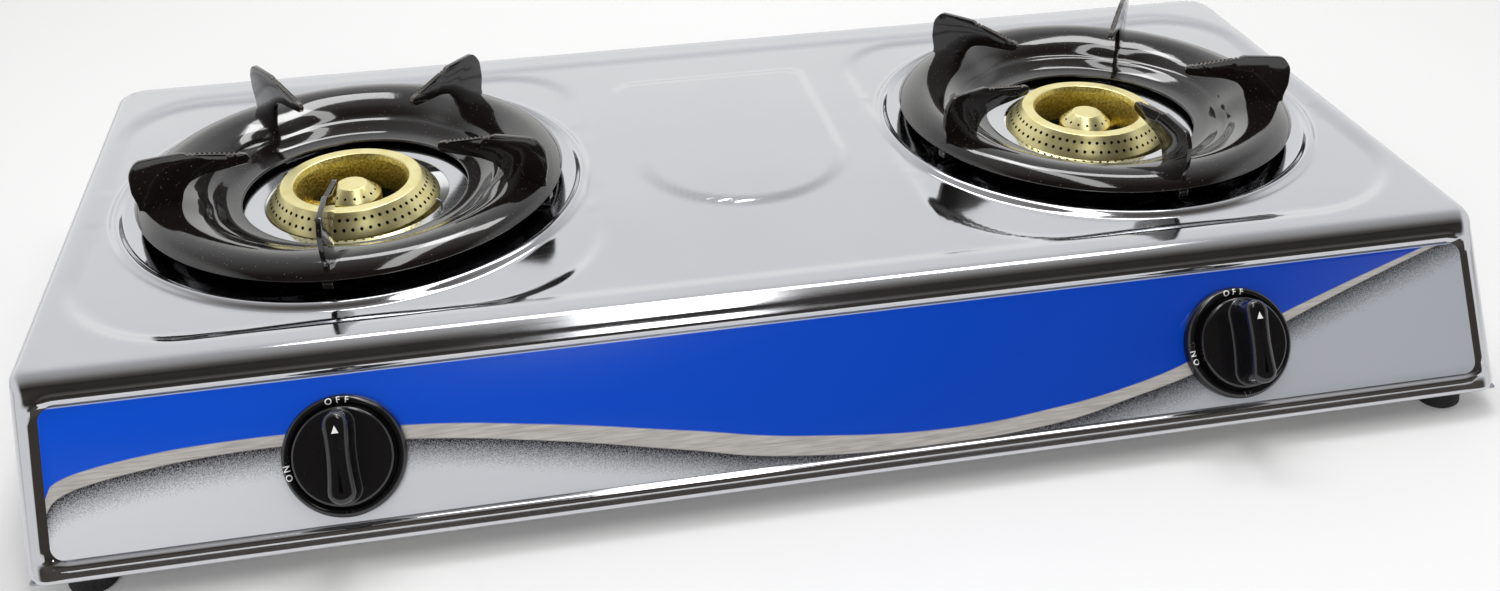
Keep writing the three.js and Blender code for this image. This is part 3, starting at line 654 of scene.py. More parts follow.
@dataclass
class BodyPressing:
    """The pressed stainless body: embossed top, rolled front, recessed panel and plain end walls."""

    finishes: Finishes
    spacing: float = 3.0
    top_roll: float = 5.0
    front_roll: float = 13.5
    tilt: float = math.radians(35.2)
    panel_top: tuple[float, float] = (-142.9, 74.0)
    panel_half: float = 337.8
    panel_height: float = 65.9
    panel_corner: float = 6.0
    seat_depth: float = 0.9
    frame_rise: float = 1.1
    lip: float = 3.0
    sheet: float = 0.9
    bead_radius: float = 120.5
    bead_half: float = 4.8
    bead_rise: float = 2.6
    hole_radius: float = 78.0
    ring_radius: float = 127.0
    corner_share: float = 0.035

    def __post_init__(self) -> None:
        """Reads the walls' places and the burners' centres from the frame."""
        low, high = (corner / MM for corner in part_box("body_shell"))
        self.half_width = high.x
        self.rear = high.y
        self.foot = low.z
        self.top = 85.0
        self.burners = [centre_of(f"support_tray_{side.word}") for side in Side]

    def relief(self, x: float, y: float) -> float:
        """Height of the embossing at a place on the top.

        Args:
            x: The place along the front.
            y: The place front to back.

        Returns:
            The height above the flat sheet, in millimetres.
        """
        corner = 70.0 if y < 20 else 46.0
        edge = rounded_box(x, y - 16.5, 341, 136.5, corner)
        zone = rounded_box(abs(x) - 211.5, y - 14, 129.5, 131, min(corner, 66.0))
        height = -0.7 * smooth(-edge / 5) - 1.2 * smooth(-zone / 5.5)
        pad_y = y - 11
        pad = math.hypot(x, pad_y) - 58 if pad_y < 0 else rounded_box(x, pad_y, 58, 106, 12)
        height += 1.6 * smooth(-pad / 4.5)
        for burner in self.burners:
            off = (math.hypot(x - burner.x, y - burner.y) - self.bead_radius) / self.bead_half
            if abs(off) < 1:
                height += self.bead_rise * math.cos(off * math.pi / 2) ** 2
        return height

    def frame_height(self, x: float, down: float) -> float:
        """Height of the pressed frame round the panel, from the panel's own plane.

        Args:
            x: The place along the front.
            down: The distance below the panel's upper edge.

        Returns:
            The height, negative in the seat that holds the panel.
        """
        away = rounded_box(x, down - self.panel_height / 2, self.panel_half, self.panel_height / 2,
                           self.panel_corner)
        rise = (self.seat_depth + self.frame_rise) * smooth((away - 0.3) / 2.6) - self.seat_depth
        return rise - self.frame_rise * smooth((away - 3.2) / 3.2)

    def levels(self) -> list[RimLevel]:
        """Lists the rings of the walls from the top's border to the folded lower lip.

        Returns:
            The rings, from the top down.
        """
        turn = math.pi / 2 - self.tilt
        top = self.top
        panel_y, panel_z = self.panel_top
        roll = self.front_roll
        roll_y = panel_y - (panel_z - top) * math.tan(self.tilt) + roll * math.tan(turn / 2)
        rings: list[RimLevel] = []
        steps = 8
        side_roll = self.top_roll
        for k in range(steps + 1):
            front_angle = turn * k / steps
            side_angle = math.pi / 2 * k / steps
            out = side_roll * (1 - math.sin(side_angle))
            rings.append(RimLevel(
                self.half_width - out, roll_y - roll * math.sin(front_angle),
                self.rear - out, top - side_roll * (1 - math.cos(side_angle)),
                top - roll * (1 - math.cos(front_angle)), 10 - out, 16 - out))
        start = (panel_z - rings[-1].front_z) / math.cos(self.tilt)
        height = self.panel_height
        downs = [-4.8, -3.2, -2.4, -1.6, -0.8, 0, 1.5, 3.5, 7, height / 2, height - 7, height - 3.5,
                 height - 1.5, height, height + 0.8, height + 1.6, height + 2.4, height + 3.2, height + 4.8,
                 height + 7]
        for down in (d for d in downs if d > start):
            z = panel_z - down * math.cos(self.tilt)
            y = panel_y - down * math.sin(self.tilt)
            rings.append(RimLevel(self.half_width, y, self.rear, z, z, 10, 16, down))
        foot = rings[-1]
        drop = foot.side_z - self.foot
        for k in range(1, 5):
            angle = math.pi / 2 * k / 4
            out = self.lip * (1 - math.cos(angle))
            z = foot.side_z - drop * math.sin(angle)
            y = foot.front - (foot.side_z - z) * math.tan(self.tilt) + out
            rings.append(RimLevel(foot.half - out, y, foot.rear - out, z, z, 10 - out, 16 - out))
        return rings

    def rim_place(self, share: tuple[float, float], level: RimLevel) -> Vector:
        """Finds where a border vertex of the top goes on one ring.

        Args:
            share: The vertex on the border of a square from -1 to 1.
            level: The ring.

        Returns:
            Its place in millimetres.
        """
        along_x, along_y = share
        to_front = along_y < 0
        radius = level.front_radius if to_front else level.rear_radius
        on_long_edge = abs(abs(along_y) - 1) < 1e-6
        along = abs(along_x) if on_long_edge else abs(along_y)
        straight = 1 - self.corner_share * (1 if on_long_edge else 2)
        turn = math.pi / 4 * max(0.0, (along - straight) / (1 - straight))
        angle = math.pi / 2 - turn if on_long_edge else turn
        corner_x = level.half - radius
        corner_y = level.front + level.front_radius if to_front else level.rear - level.rear_radius
        if on_long_edge:
            base_x = corner_x * min(1.0, along / straight)
            base_y = corner_y
        else:
            base_x = corner_x
            middle = (level.front + level.front_radius + level.rear - level.rear_radius) / 2
            base_y = middle + (corner_y - middle) * min(1.0, along / straight)
        x = math.copysign(base_x + radius * math.cos(angle) * (turn > 0 or not on_long_edge), along_x)
        y = base_y + math.copysign(radius * math.sin(angle), along_y) * (turn > 0 or on_long_edge)
        front_share = smooth(angle / (math.pi / 2)) if to_front else 0.0
        z = level.side_z + (level.front_z - level.side_z) * front_share
        if level.down > -90:
            rise = self.frame_height(x, level.down) * front_share
            y -= rise * math.cos(self.tilt)
            z += rise * math.sin(self.tilt)
        return Vector((x, y, z))

    def skin(self, bm: BMesh) -> None:
        """Builds the outer skin: the embossed top, its two holes and the walls down to the folded lip."""
        rings = self.levels()
        border = rings[0]
        middle_y = (border.front + border.rear) / 2
        half_y = (border.rear - border.front) / 2
        counts = [round(2 * half / self.spacing) for half in (border.half, half_y)]
        grid = bmesh.ops.create_grid(bm, x_segments=counts[0], y_segments=counts[1], size=1)["verts"]
        shares = {v: (v.co.x, v.co.y) for v in grid if max(abs(v.co.x), abs(v.co.y)) > 1 - 1e-6}
        for vert in grid:
            place = Vector((vert.co.x * border.half, middle_y + vert.co.y * half_y, self.top))
            vert.co = self.rim_place(shares[vert], border) if vert in shares else place
        for burner in self.burners:
            inside = [v for v in bm.verts if (v.co.xy - burner.xy).length < self.ring_radius]
            bmesh.ops.delete(bm, geom=inside, context="VERTS")
            near = {v for v in bm.verts if v.is_boundary and v not in shares
                    and (v.co.xy - burner.xy).length < self.ring_radius + 3 * self.spacing}
            self.burner_ring(bm, ordered_loops(near)[0], burner)
        for vert in bm.verts:
            if vert not in shares:
                vert.co.z += self.relief(vert.co.x, vert.co.y)
        loop = ordered_loops(set(shares))[0]
        keys = [shares[v] for v in loop]
        for level in rings[1:]:
            loop = extrude_loop(bm, loop, [self.rim_place(key, level) for key in keys])

    def burner_ring(self, bm: BMesh, loop: list[BMVert], burner: Vector) -> None:
        """Draws the top in from a stepped hole to the burner's round hole, in true circles.

        Args:
            bm: The mesh.
            loop: The hole's border.
            burner: The burner's centre.
        """
        angles = [math.atan2(v.co.y - burner.y, v.co.x - burner.x) for v in loop]
        for i in range(1, len(angles)):
            angles[i] += math.tau * round((angles[i - 1] - angles[i]) / math.tau)
        whole = math.copysign(math.tau, angles[-1] - angles[0])
        for _ in range(6):
            padded = [angles[-1] - whole, *angles, angles[0] + whole]
            angles = [(a + 2 * b + c) / 4 for a, b, c in zip(padded, padded[1:], padded[2:])]
        centre = Vector((burner.x, burner.y, self.top))
        arms = [Vector((math.cos(a), math.sin(a), 0)) for a in angles]
        for vert, arm in zip(loop, arms):
            vert.co = centre + arm * self.ring_radius
        bead = [self.bead_radius + self.bead_half * (1 - k / 7) for k in range(15)]
        for radius in [*bead, 111, 104, 92, self.hole_radius]:
            loop = extrude_loop(bm, loop, [centre + arm * radius for arm in arms])

    def build(self) -> None:
        """Builds the pressing, gives the sheet its thickness and dresses it."""
        bm = bmesh.new()
        self.skin(bm)
        bmesh.ops.recalc_face_normals(bm, faces=bm.faces[:])
        if max(bm.faces, key=lambda f: f.calc_center_median().z).normal.z < 0:
            bmesh.ops.reverse_faces(bm, faces=bm.faces[:])
        piece = finished(bm, "body_pressing", [self.finishes.steel],
                         Placing("root", Slot.STEEL, ("body_shell",)))
        wall = piece.modifiers.new("wall", "SOLIDIFY")
        wall.thickness = self.sheet * MM
        wall.offset = -1


@dataclass
class FrontPanel:
    """The printed sheet in the body's recess, with softly rolled edges."""

    finishes: Finishes
    body: BodyPressing
    sheet: float = 0.6

    def build(self) -> None:
        """Builds the sheet in the recess."""
        half = self.body.panel_half
        low = -self.body.panel_height
        corner = self.body.panel_corner
        outline = filleted([(-half, low, corner), (half, low, corner), (half, 0, corner), (-half, 0, corner)],
                           arc_step=8)
        bm = plate(outline, self.sheet, 0.2, 2)
        at = (Matrix.Translation((0, *self.body.panel_top))
              @ Matrix.Rotation(math.pi / 2 - self.body.tilt, 4, "X")
              @ Matrix.Translation((0, 0, -self.sheet / 2)))
        finished(bm, "printed_front_panel", [self.finishes.panel],
                 Placing("root", Slot.PANEL, ("front_panel",)), at)


# ---- burners ----------------------------------------------------------------------------------------
@dataclass
class Burner:
    """One burner: a pierced brass ring, its inner cap and the polished dish round them."""

    finishes: Finishes
    side: Side
    ring_ports: int = 60
    cap_ports: int = 15
    port_radius: float = 0.98

    def __post_init__(self) -> None:
        """Reads the casting's axis and heights from the frame."""
        word = self.side.word
        axis = centre_of(f"burner_ring_{word}")
        low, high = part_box(f"burner_ring_{word}")
        self.axis = Matrix.Translation((axis.x, axis.y, 0))
        self.crown = high.z / MM
        cap_low, cap_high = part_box(f"burner_cap_{word}")
        self.cap_foot = cap_low.z / MM
        self.cap_top = cap_high.z / MM
        dish_low, dish_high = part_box(f"drip_dish_{word}")
        middle = centre_of(f"drip_dish_{word}")
        self.dish_axis = Matrix.Translation((middle.x, middle.y, 0))
        self.dish_floor = dish_low.z / MM
        self.dish_rim = dish_high.z / MM
        self.dish_radius = (dish_high.x - dish_low.x) / 2 / MM

    def build(self) -> None:
        """Builds the ring, cap and dish."""
        self.build_ring()
        self.build_cap()
        self.build_dish()

    def colour_by_place(self, bm: BMesh, is_machined: Callable[[Vector, Vector], bool]) -> None:
        """Marks each face as machined (0) or as cast (1)."""
        for face in bm.faces:
            machined = is_machined(face.calc_center_median(), face.normal)
            face.material_index = 0 if machined else 1

    def build_ring(self) -> None:
        """Turns the ring, pierces two staggered rows of ports and adds the hub on three arms."""
        crown = self.crown
        rows = [(78.4, 80.9), (82.4, 84.9)]
        slope = (45.3 - 36.5) / (crown - 76.5)
        on_slope = [(45.3 - (z - 76.5) * slope, z, 0.0) for row in rows for z in row]
        profile = filleted([
            (41.4, 67, 0.4), (44.4, 67, 0.6), (44.9, 73.5, 0.8), (45.3, 76.2, 0.7), *on_slope,
            (36.7, crown, 1.0), (30.4, crown, 1.0), (28.9, crown - 3, 2.0), (28.2, 67, 0.6),
            (31.4, 67, 0.4), (32.4, 81.6, 0.5), (35.6, 82, 0.5), (41.2, 75.6, 0.5)])
        bm = spun(profile, 2 * self.ring_ports, closed=True)
        self.colour_by_place(bm, lambda at, out: (at.z > 76.3 and out.z > 0.25)
                             and math.hypot(at.x, at.y) > 29.6)
        step = math.tau / self.ring_ports
        for stagger, (low, high) in zip((0.25, 0.75), rows):
            band = [f for f in bm.faces if low < f.calc_center_median().z < high and f.normal.z > 0.2]
            chosen = [f for f in band if abs(math.remainder(
                polar(f.calc_center_median()) / step - stagger, 1)) < 0.1
                and f.normal.xy.dot(f.calc_center_median().xy) > 0]
            open_ports(bm, chosen, self.port_radius, 1.6, 2)
        self.add_hub(bm)
        word = self.side.word
        finished(bm, f"burner_ring_{word}_pierced", [self.finishes.brass, self.finishes.cast_brass,
                                                     self.finishes.soot],
                 Placing(f"{word}_ring", Slot.BRASS, (f"burner_ring_{word}",)), self.axis)

    def add_hub(self, bm: BMesh) -> None:
        """Adds the cap's seat and the three arms that carry it."""
        seat = spun(filleted([(9.5, 64.3, 0.5), (14.2, 64.3, 0.5), (14.2, 69, 0.5), (9.5, 69, 0.5)]),
                    48, closed=True)
        carrier = bpy.data.meshes.new("seat")
        seat.to_mesh(carrier)
        seat.free()
        before = len(bm.faces)
        bm.from_mesh(carrier)
        bpy.data.meshes.remove(carrier)
        for turn in (30, 150, 270):
            arm = bmesh.ops.create_cube(bm, size=1)["verts"]
            bmesh.ops.scale(bm, vec=(16, 5, 3.6), verts=arm)
            bmesh.ops.translate(bm, vec=(21.4, 0, 67), verts=arm)
            edges = list({e for v in arm for e in v.link_edges})
            rounded = bmesh.ops.bevel(bm, geom=edges, offset=1.1, segments=3, profile=0.5, affect="EDGES",
                                      material=-1, clamp_overlap=True)["verts"]
            bmesh.ops.rotate(bm, cent=(0, 0, 0), matrix=Matrix.Rotation(math.radians(turn), 3, "Z"),
                             verts=rounded)
        bm.faces.ensure_lookup_table()
        for face in bm.faces[before:]:
            face.material_index = 1

    def build_cap(self) -> None:
        """Turns the inner cap and pierces its single row of ports."""
        foot, top = self.cap_foot, self.cap_top
        row = (79.8, 82.2)
        slope = (14.6 - 7.8) / (top - 78.6)
        on_cone = [(14.6 - (z - 78.6) * slope, z, 0.0) for z in row]
        profile = filleted([(0, top - 4, 0), (5.5, top - 4.4, 1), (11.6, 76, 1), (11.6, foot, 0.4),
                            (14.3, foot, 0.5), (14.6, 78.4, 0.8), *on_cone, (7.9, top - 0.1, 0.8),
                            (4, top, 1), (0, top, 0)], closed=False)
        bm = spun(profile, self.cap_ports * 3)
        self.colour_by_place(bm, lambda at, out: at.z > 77 and out.z > -0.1)
        self.pierce_cap(bm, *row)
        word = self.side.word
        finished(bm, f"burner_cap_{word}_pierced", [self.finishes.brass, self.finishes.cast_brass,
                                                    self.finishes.soot],
                 Placing(f"{word}_cap", Slot.BRASS, (f"burner_cap_{word}",)), self.axis)

    def pierce_cap(self, bm: BMesh, low: float, high: float) -> None:
        """Opens every third face of the cone's band as a port."""
        step = math.tau / self.cap_ports
        band = [f for f in bm.faces if low < f.calc_center_median().z < high and f.normal.z > 0.2]
        chosen = [f for f in band if abs(math.remainder(
            polar(f.calc_center_median()) / step - 0.5, 1)) < 0.1]
        open_ports(bm, chosen, 0.8, 1.2, 2)

    def build_dish(self) -> None:
        """Spins the polished dish with its rolled rim and its turned-up bore."""
        floor, rim = self.dish_floor, self.dish_rim
        wall = self.dish_radius - 6.5
        outer = self.dish_radius
        profile = filleted([
            (48.2, floor + 0.8, 0.3), (wall - 0.8, floor + 0.8, 3), (wall - 0.8, rim, 0.9),
            (outer - 0.6, rim, 0.3), (outer, rim - 0.8, 0.3), (wall, rim - 0.8, 0.5), (wall, floor, 3.4),
            (48.2, floor, 0.3)])
        bm = spun(profile, 128, closed=True)
        word = self.side.word
        finished(bm, f"drip_dish_{word}_polished", [self.finishes.steel],
                 Placing("root", Slot.STEEL, (f"drip_dish_{word}",)), self.dish_axis)


def open_ports(bm: BMesh, faces: Sequence[Any], radius: float, depth: float, material: int) -> None:
    """Turns faces into round blind holes.

    Args:
        bm: The mesh.
        faces: The faces to open, one hole in each.
        radius: The holes' radius.
        depth: Their depth.
        material: Material index inside them.
    """
    middles = {face: (face.calc_center_median(), face.normal.copy()) for face in faces}
    bmesh.ops.inset_individual(bm, faces=list(faces), thickness=0.2, use_even_offset=True)
    for face, (centre, normal) in middles.items():
        for edge in list(face.edges):
            bmesh.utils.edge_split(edge, edge.verts[0], 0.5)
        for vert in face.verts:
            arm = vert.co - centre
            arm -= normal * arm.dot(normal)
            vert.co = centre + arm.normalized() * radius
        hole = bmesh.ops.extrude_discrete_faces(bm, faces=[face])["faces"][0]
        bmesh.ops.translate(bm, vec=-normal * depth, verts=list(hole.verts))
        # The hole takes the given material; for the burners it is near-black, soot plus painted shade.
        hole.material_index = material
        for edge in hole.edges:
            for wall in edge.link_faces:
                wall.material_index = material


# ---- pan supports -----------------------------------------------------------------------------------
@dataclass
class PanSupport:
    """An enamelled tray with five toothed sheet prongs welded into it."""

    finishes: Finishes
    side: Side
    prongs: int = 5
    sheet: float = 1.5
    prong_sheet: float = 2.6
    teeth: int = 11
    saddle_depth: float = 2.6
    saddle_width: float = math.radians(10)
    # The tray's upper face, from its inner lip over the basin and the crown to its outer rim.
    section: tuple[tuple[float, float], ...] = (
        (58.7, 81.4), (61, 81.5), (66, 82.4), (70, 84.5), (73, 86.4), (76, 87.6), (79, 90.3), (82, 92.6),
        (87, 94.9), (92, 96.6), (98, 97.2), (104, 95.8), (108, 93.2), (110.2, 90.6))

    def __post_init__(self) -> None:
        """Reads the support's axis and the first prong's direction from the frame."""
        word = self.side.word
        axis = centre_of(f"support_tray_{word}")
        prong = centre_of(f"prong_{word}_1") - axis
        self.axis = Matrix.Translation((axis.x, axis.y, 0))
        self.first = math.atan2(prong.y, prong.x)
        self.turns = [self.first + n * math.tau / self.prongs for n in range(self.prongs)]

    def build(self) -> None:
        """Builds the tray and its prongs."""
        word = self.side.word
        body = f"{word}_support"
        tray = finished(self.tray(), f"support_tray_{word}_enamelled", [self.finishes.enamel],
                        Placing(body, Slot.ENAMEL, (f"support_tray_{word}",)), self.axis)
        wall = tray.modifiers.new("wall", "SOLIDIFY")
        wall.thickness = self.sheet * MM
        wall.offset = -1
        edge = tray.modifiers.new("edge", "BEVEL")
        edge.width = 0.6 * MM
        edge.segments = 3
        edge.limit_method = "ANGLE"
        edge.angle_limit = math.radians(50)
        edge.harden_normals = False
        for number, turn in enumerate(self.turns, 1):
            at = self.axis @ Matrix.Rotation(turn, 4, "Z")
            finished(self.prong(), f"prong_{word}_{number}_enamelled",
                     [self.finishes.enamel, self.finishes.rubbed_enamel],
                     Placing(body, Slot.ENAMEL, (f"prong_{word}_{number}",)), at)

    def tray(self) -> BMesh:
        """Turns the tray's upper face and draws its crown in to each prong's seat."""
        bm = spun(flowing(self.section, 4), 160)
        for vert in bm.verts:
            radius = math.hypot(vert.co.x, vert.co.y)
            angle = math.atan2(vert.co.y, vert.co.x)
            off = min(abs(math.remainder(angle - turn, math.tau)) for turn in self.turns)
            pull = self.saddle_depth * math.exp(-((off / self.saddle_width) ** 2))
            pull *= smooth((radius - 64) / 14) * smooth((101 - radius) / 14)
            vert.co.xy *= (radius - pull) / radius
        bmesh.ops.recalc_face_normals(bm, faces=bm.faces[:])
        if sum(f.normal.z for f in bm.faces) < 0:
            bmesh.ops.reverse_faces(bm, faces=bm.faces[:])
        return bm

    def prong(self) -> BMesh:
        """Cuts one prong from sheet: a rounded back, a toothed top and a hollow underside."""
        top = 120.2
        tooth_from, tooth_to = Vector((80, 119.6)), Vector((54.5, 114.4))
        corners = [(95, 87.2, 2), (98, 85.3, 1), (109.2, 85.3, 1.4), (109.4, 88.8, 1), (107.4, 90.6, 1.5),
                   (107.4, 97, 3), (109, 104, 10), (108.4, 114, 9), (103.6, 120, 6), (92, top, 6),
                   (82, top, 1)]
        for i in range(2 * self.teeth + 1):
            at = tooth_from.lerp(tooth_to, i / (2 * self.teeth))
            corners.append((at.x, at.y - 1.0 * (i % 2), 0.35))
        corners += [(51, 113.4, 1.6), (49.8, 110.6, 2), (51.6, 108.4, 1.6), (60, 107.6, 12), (73, 106.6, 20),
                    (80.5, 104.4, 8), (84.6, 99.6, 8), (86.6, 93, 3), (86.4, 90, 1)]
        bm = plate(filleted(corners), self.prong_sheet, 0.75)
        bmesh.ops.rotate(bm, cent=(0, 0, 0), matrix=Matrix.Rotation(math.pi / 2, 3, "X"), verts=bm.verts[:])
        for vert in bm.verts:
            flare = 1 + 0.9 * smooth((94 - vert.co.z) / 5) * (vert.co.x > 84)
            vert.co.y *= flare
        # Upward faces of the toothed top take the paler enamel: rubbed wear plus a painted highlight.
        for face in bm.faces:
            place = face.calc_center_median()
            face.material_index = 1 if place.x < 81 and place.z > 111 and face.normal.z > 0.3 else 0
        return bm


# ---- controls ---------------------------------------------------------------------------------------
@dataclass
class Control:
    """A push-and-turn knob in its domed bezel, with printed marks."""

    finishes: Finishes
    side: Side
    tilt: float = math.radians(35.2)
    bezel_radius: float = 27.2
    opening: float = 22.7
    crown_height: float = 5.4
    crown_foot: float = 1.5
    disc_radius: float = 21.8
    disc_face: float = 9.5
    disc_rear: float = 5.3
    grip_half: float = 20.2
    grip_top: float = 27.0

    def __post_init__(self) -> None:
        """Reads the knob's axis from its hinge."""
        name = f"{self.side.word}_knob_turn"
        joint = next(j for j in frame["joints"] if j["name"] == name)
        place = Vector(joint["pos_m"]) / MM
        self.at = Matrix.Translation(place) @ Matrix.Rotation(math.pi / 2 - self.tilt, 4, "X")

    def crown(self, radius: float) -> float:
        """Height of the bezel's domed ring at a radius."""
        middle = (self.bezel_radius + self.opening) / 2
        half = (self.bezel_radius - self.opening) / 2
        share = min(1.0, abs(radius - middle) / half)
        return self.crown_foot + (self.crown_height - self.crown_foot) * math.sqrt(1 - share**2)

    def build(self) -> None:
        """Builds the bezel, the knob and their marks."""
        word = self.side.word
        steps = 14
        width = self.bezel_radius - self.opening
        radii = [self.bezel_radius - width * (1 - math.cos(math.pi * k / steps)) / 2
                 for k in range(steps + 1)]
        ring = [Vector((r, self.crown(r))) for r in radii]
        bore = 5.5
        underside = 0.3
        profile = [Vector((bore, underside)), Vector((self.bezel_radius, underside)), *ring,
                   Vector((bore, self.crown_foot))]
        finished(spun(profile, 96, closed=True), f"bezel_{word}_domed", [self.finishes.plastic],
                 Placing("root", Slot.PLASTIC, (f"bezel_{word}",)), self.at)
        self.build_knob()
        self.build_marks()

    def grip_place(self, angle: float, inset: float, z: float) -> Vector:
        """A point on the grip's waisted outline.

        Args:
            angle: Direction from the knob's axis, 0 along X.
            inset: How far inside the outline the point lies.
            z: Its height.

        Returns:
            The point in the knob's own frame.
        """
        half_length = self.grip_half - inset
        end = 6.1 - inset
        y = math.sin(angle)
        straight = half_length - end
        along = y * half_length
        if abs(along) <= straight:
            across = end - 0.75 * math.cos(along / straight * math.pi / 2)
        else:
            across = math.sqrt(max(0.0, end**2 - (abs(along) - straight) ** 2))
        across *= 1 - 0.05 * y
        return Vector((math.copysign(across, math.cos(angle)), along, z))

    def build_knob(self) -> None:
        """Builds the disc and the waisted grip as one moulding."""
        face, rear = self.disc_face, self.disc_rear
        disc = filleted([(0, face, 0), (16, face, 0), (self.disc_radius - 0.9, face, 0.5),
                         (self.disc_radius, face - 0.7, 0.5), (self.disc_radius, rear, 0.6),
                         (3.3, rear, 0.3), (3.3, 15, 0), (0, 15, 0)][::-1], closed=False)
        bm = spun(disc, 96)
        # Evenly spread angles crowd at the grip's ends, where its outline turns fastest.
        count = 72
        angles = [math.tau * (k + 0.5) / count for k in range(count)]
        grip = bmesh.ops.create_circle(bm, segments=count, radius=1, cap_ends=False)["verts"]
        for vert, angle in zip(grip, angles):
            vert.co = self.grip_place(angle, -1.2, face - 0.3)
        levels = [(-0.6, face + 0.25), (-0.2, face + 0.9), (0, face + 2), (0.15, face + 8)]
        edge = 3.2
        for k in range(8):
            turn = math.pi / 2 * k / 7
            levels.append((0.3 + edge * (1 - math.cos(turn)), self.grip_top - edge * (1 - math.sin(turn))))
        levels += [(4.2, self.grip_top + 0.05), (5.3, self.grip_top + 0.05)]
        loop = grip
        for inset, z in levels:
            loop = extrude_loop(bm, loop, [self.grip_place(a, inset, z) for a in angles])
        bmesh.ops.contextual_create(bm, geom=loop)
        bmesh.ops.recalc_face_normals(bm, faces=bm.faces[:])
        word = self.side.word
        finished(bm, f"knob_{word}_moulded", [self.finishes.plastic],
                 Placing(f"{word}_knob", Slot.PLASTIC, (f"knob_{word}",)), self.at)

    def build_marks(self) -> None:
        """Prints the dial's words and flame signs on the bezel and the pointer on the grip."""
        bezel = bmesh.new()
        for letter, turn in (("O", 9.6), ("F", 0), ("F", -8.6)):
            self.add_letter(bezel, letter, turn)
        for letter, turn in (("O", 105.5), ("N", 96.0)):
            self.add_letter(bezel, letter, turn)
        self.add_sign(bezel, 86.5)
        self.add_sign(bezel, 180)
        bmesh.ops.triangulate(bezel, faces=bezel.faces[:])
        for _ in range(2):
            longer = [e for e in bezel.edges if e.calc_length() > 0.6]
            bmesh.ops.subdivide_edges(bezel, edges=longer, cuts=1)
            bmesh.ops.triangulate(bezel, faces=bezel.faces[:])
        for vert in bezel.verts:
            lift = 0.14 if vert.co.z > 0.5 else 0.02
            vert.co.z = self.crown(math.hypot(vert.co.x, vert.co.y)) + lift
        word = self.side.word
        finished(bezel, f"dial_marks_{word}", [self.finishes.print_white], Placing("root", Slot.PLASTIC),
                 self.at)
        pointer = plate([Vector((-1.5, 0)), Vector((1.5, 0)), Vector((0, 3.4))], 0.2, 0.05, 1)
        place = (0, self.grip_half - 9.5, self.grip_top + 0.06)
        bmesh.ops.translate(pointer, vec=place, verts=pointer.verts[:])
        finished(pointer, f"pointer_{word}", [self.finishes.print_white],
                 Placing(f"{word}_knob", Slot.PLASTIC), self.at)

    def add_letter(self, bm: BMesh, letter: str, turn: float) -> None:
        """Adds one raised letter to the bezel's marks, turned round the knob's axis by degrees."""
        text = bpy.data.curves.new("letter", "FONT")
        text.body = letter
        text.size = 4.0
        text.extrude = 0.5
        text.offset = 0.04
        text.align_x = "CENTER"
        text.resolution_u = 3
        carrier = bpy.data.objects.new("letter", text)
        bpy.context.scene.collection.objects.link(carrier)
        bpy.context.view_layer.update()
        mesh = bpy.data.meshes.new_from_object(carrier)
        middle = (self.bezel_radius + self.opening) / 2
        mesh.transform(Matrix.Rotation(math.radians(turn), 4, "Z")
                       @ Matrix.Translation((0, middle - 1.45, 0.5)))
        bm.from_mesh(mesh)
        bpy.data.meshes.remove(mesh)
        bpy.data.objects.remove(carrier)
        bpy.data.curves.remove(text)

    def add_sign(self, bm: BMesh, turn: float) -> None:
        """Adds an outlined flame sign, turned round the knob's axis by degrees."""
        middle = (self.bezel_radius + self.opening) / 2
        shape = filleted([(-1.9, -0.3, 0.4), (1.9, -0.3, 0.4), (0.4, 2.3, 0.3), (-0.4, 2.3, 0.3)])
        verts = [bm.verts.new((p.x, p.y + middle - 1, 0)) for p in shape]
        face = bm.faces.new(verts)
        bmesh.ops.inset_individual(bm, faces=[face], thickness=0.45, use_even_offset=True)
        inner = list(face.verts)
        bmesh.ops.delete(bm, geom=[face], context="FACES_ONLY")
        flat = list({f for v in inner for f in v.link_faces})
        raised = bmesh.ops.extrude_face_region(bm, geom=flat)["geom"]
        bmesh.ops.translate(bm, vec=(0, 0, 1), verts=[v for v in raised if isinstance(v, BMVert)])
        every = list({v for v in verts + inner} | {v for v in raised if isinstance(v, BMVert)})
        bmesh.ops.rotate(bm, cent=(0, 0, 0), matrix=Matrix.Rotation(math.radians(turn), 3, "Z"), verts=every)


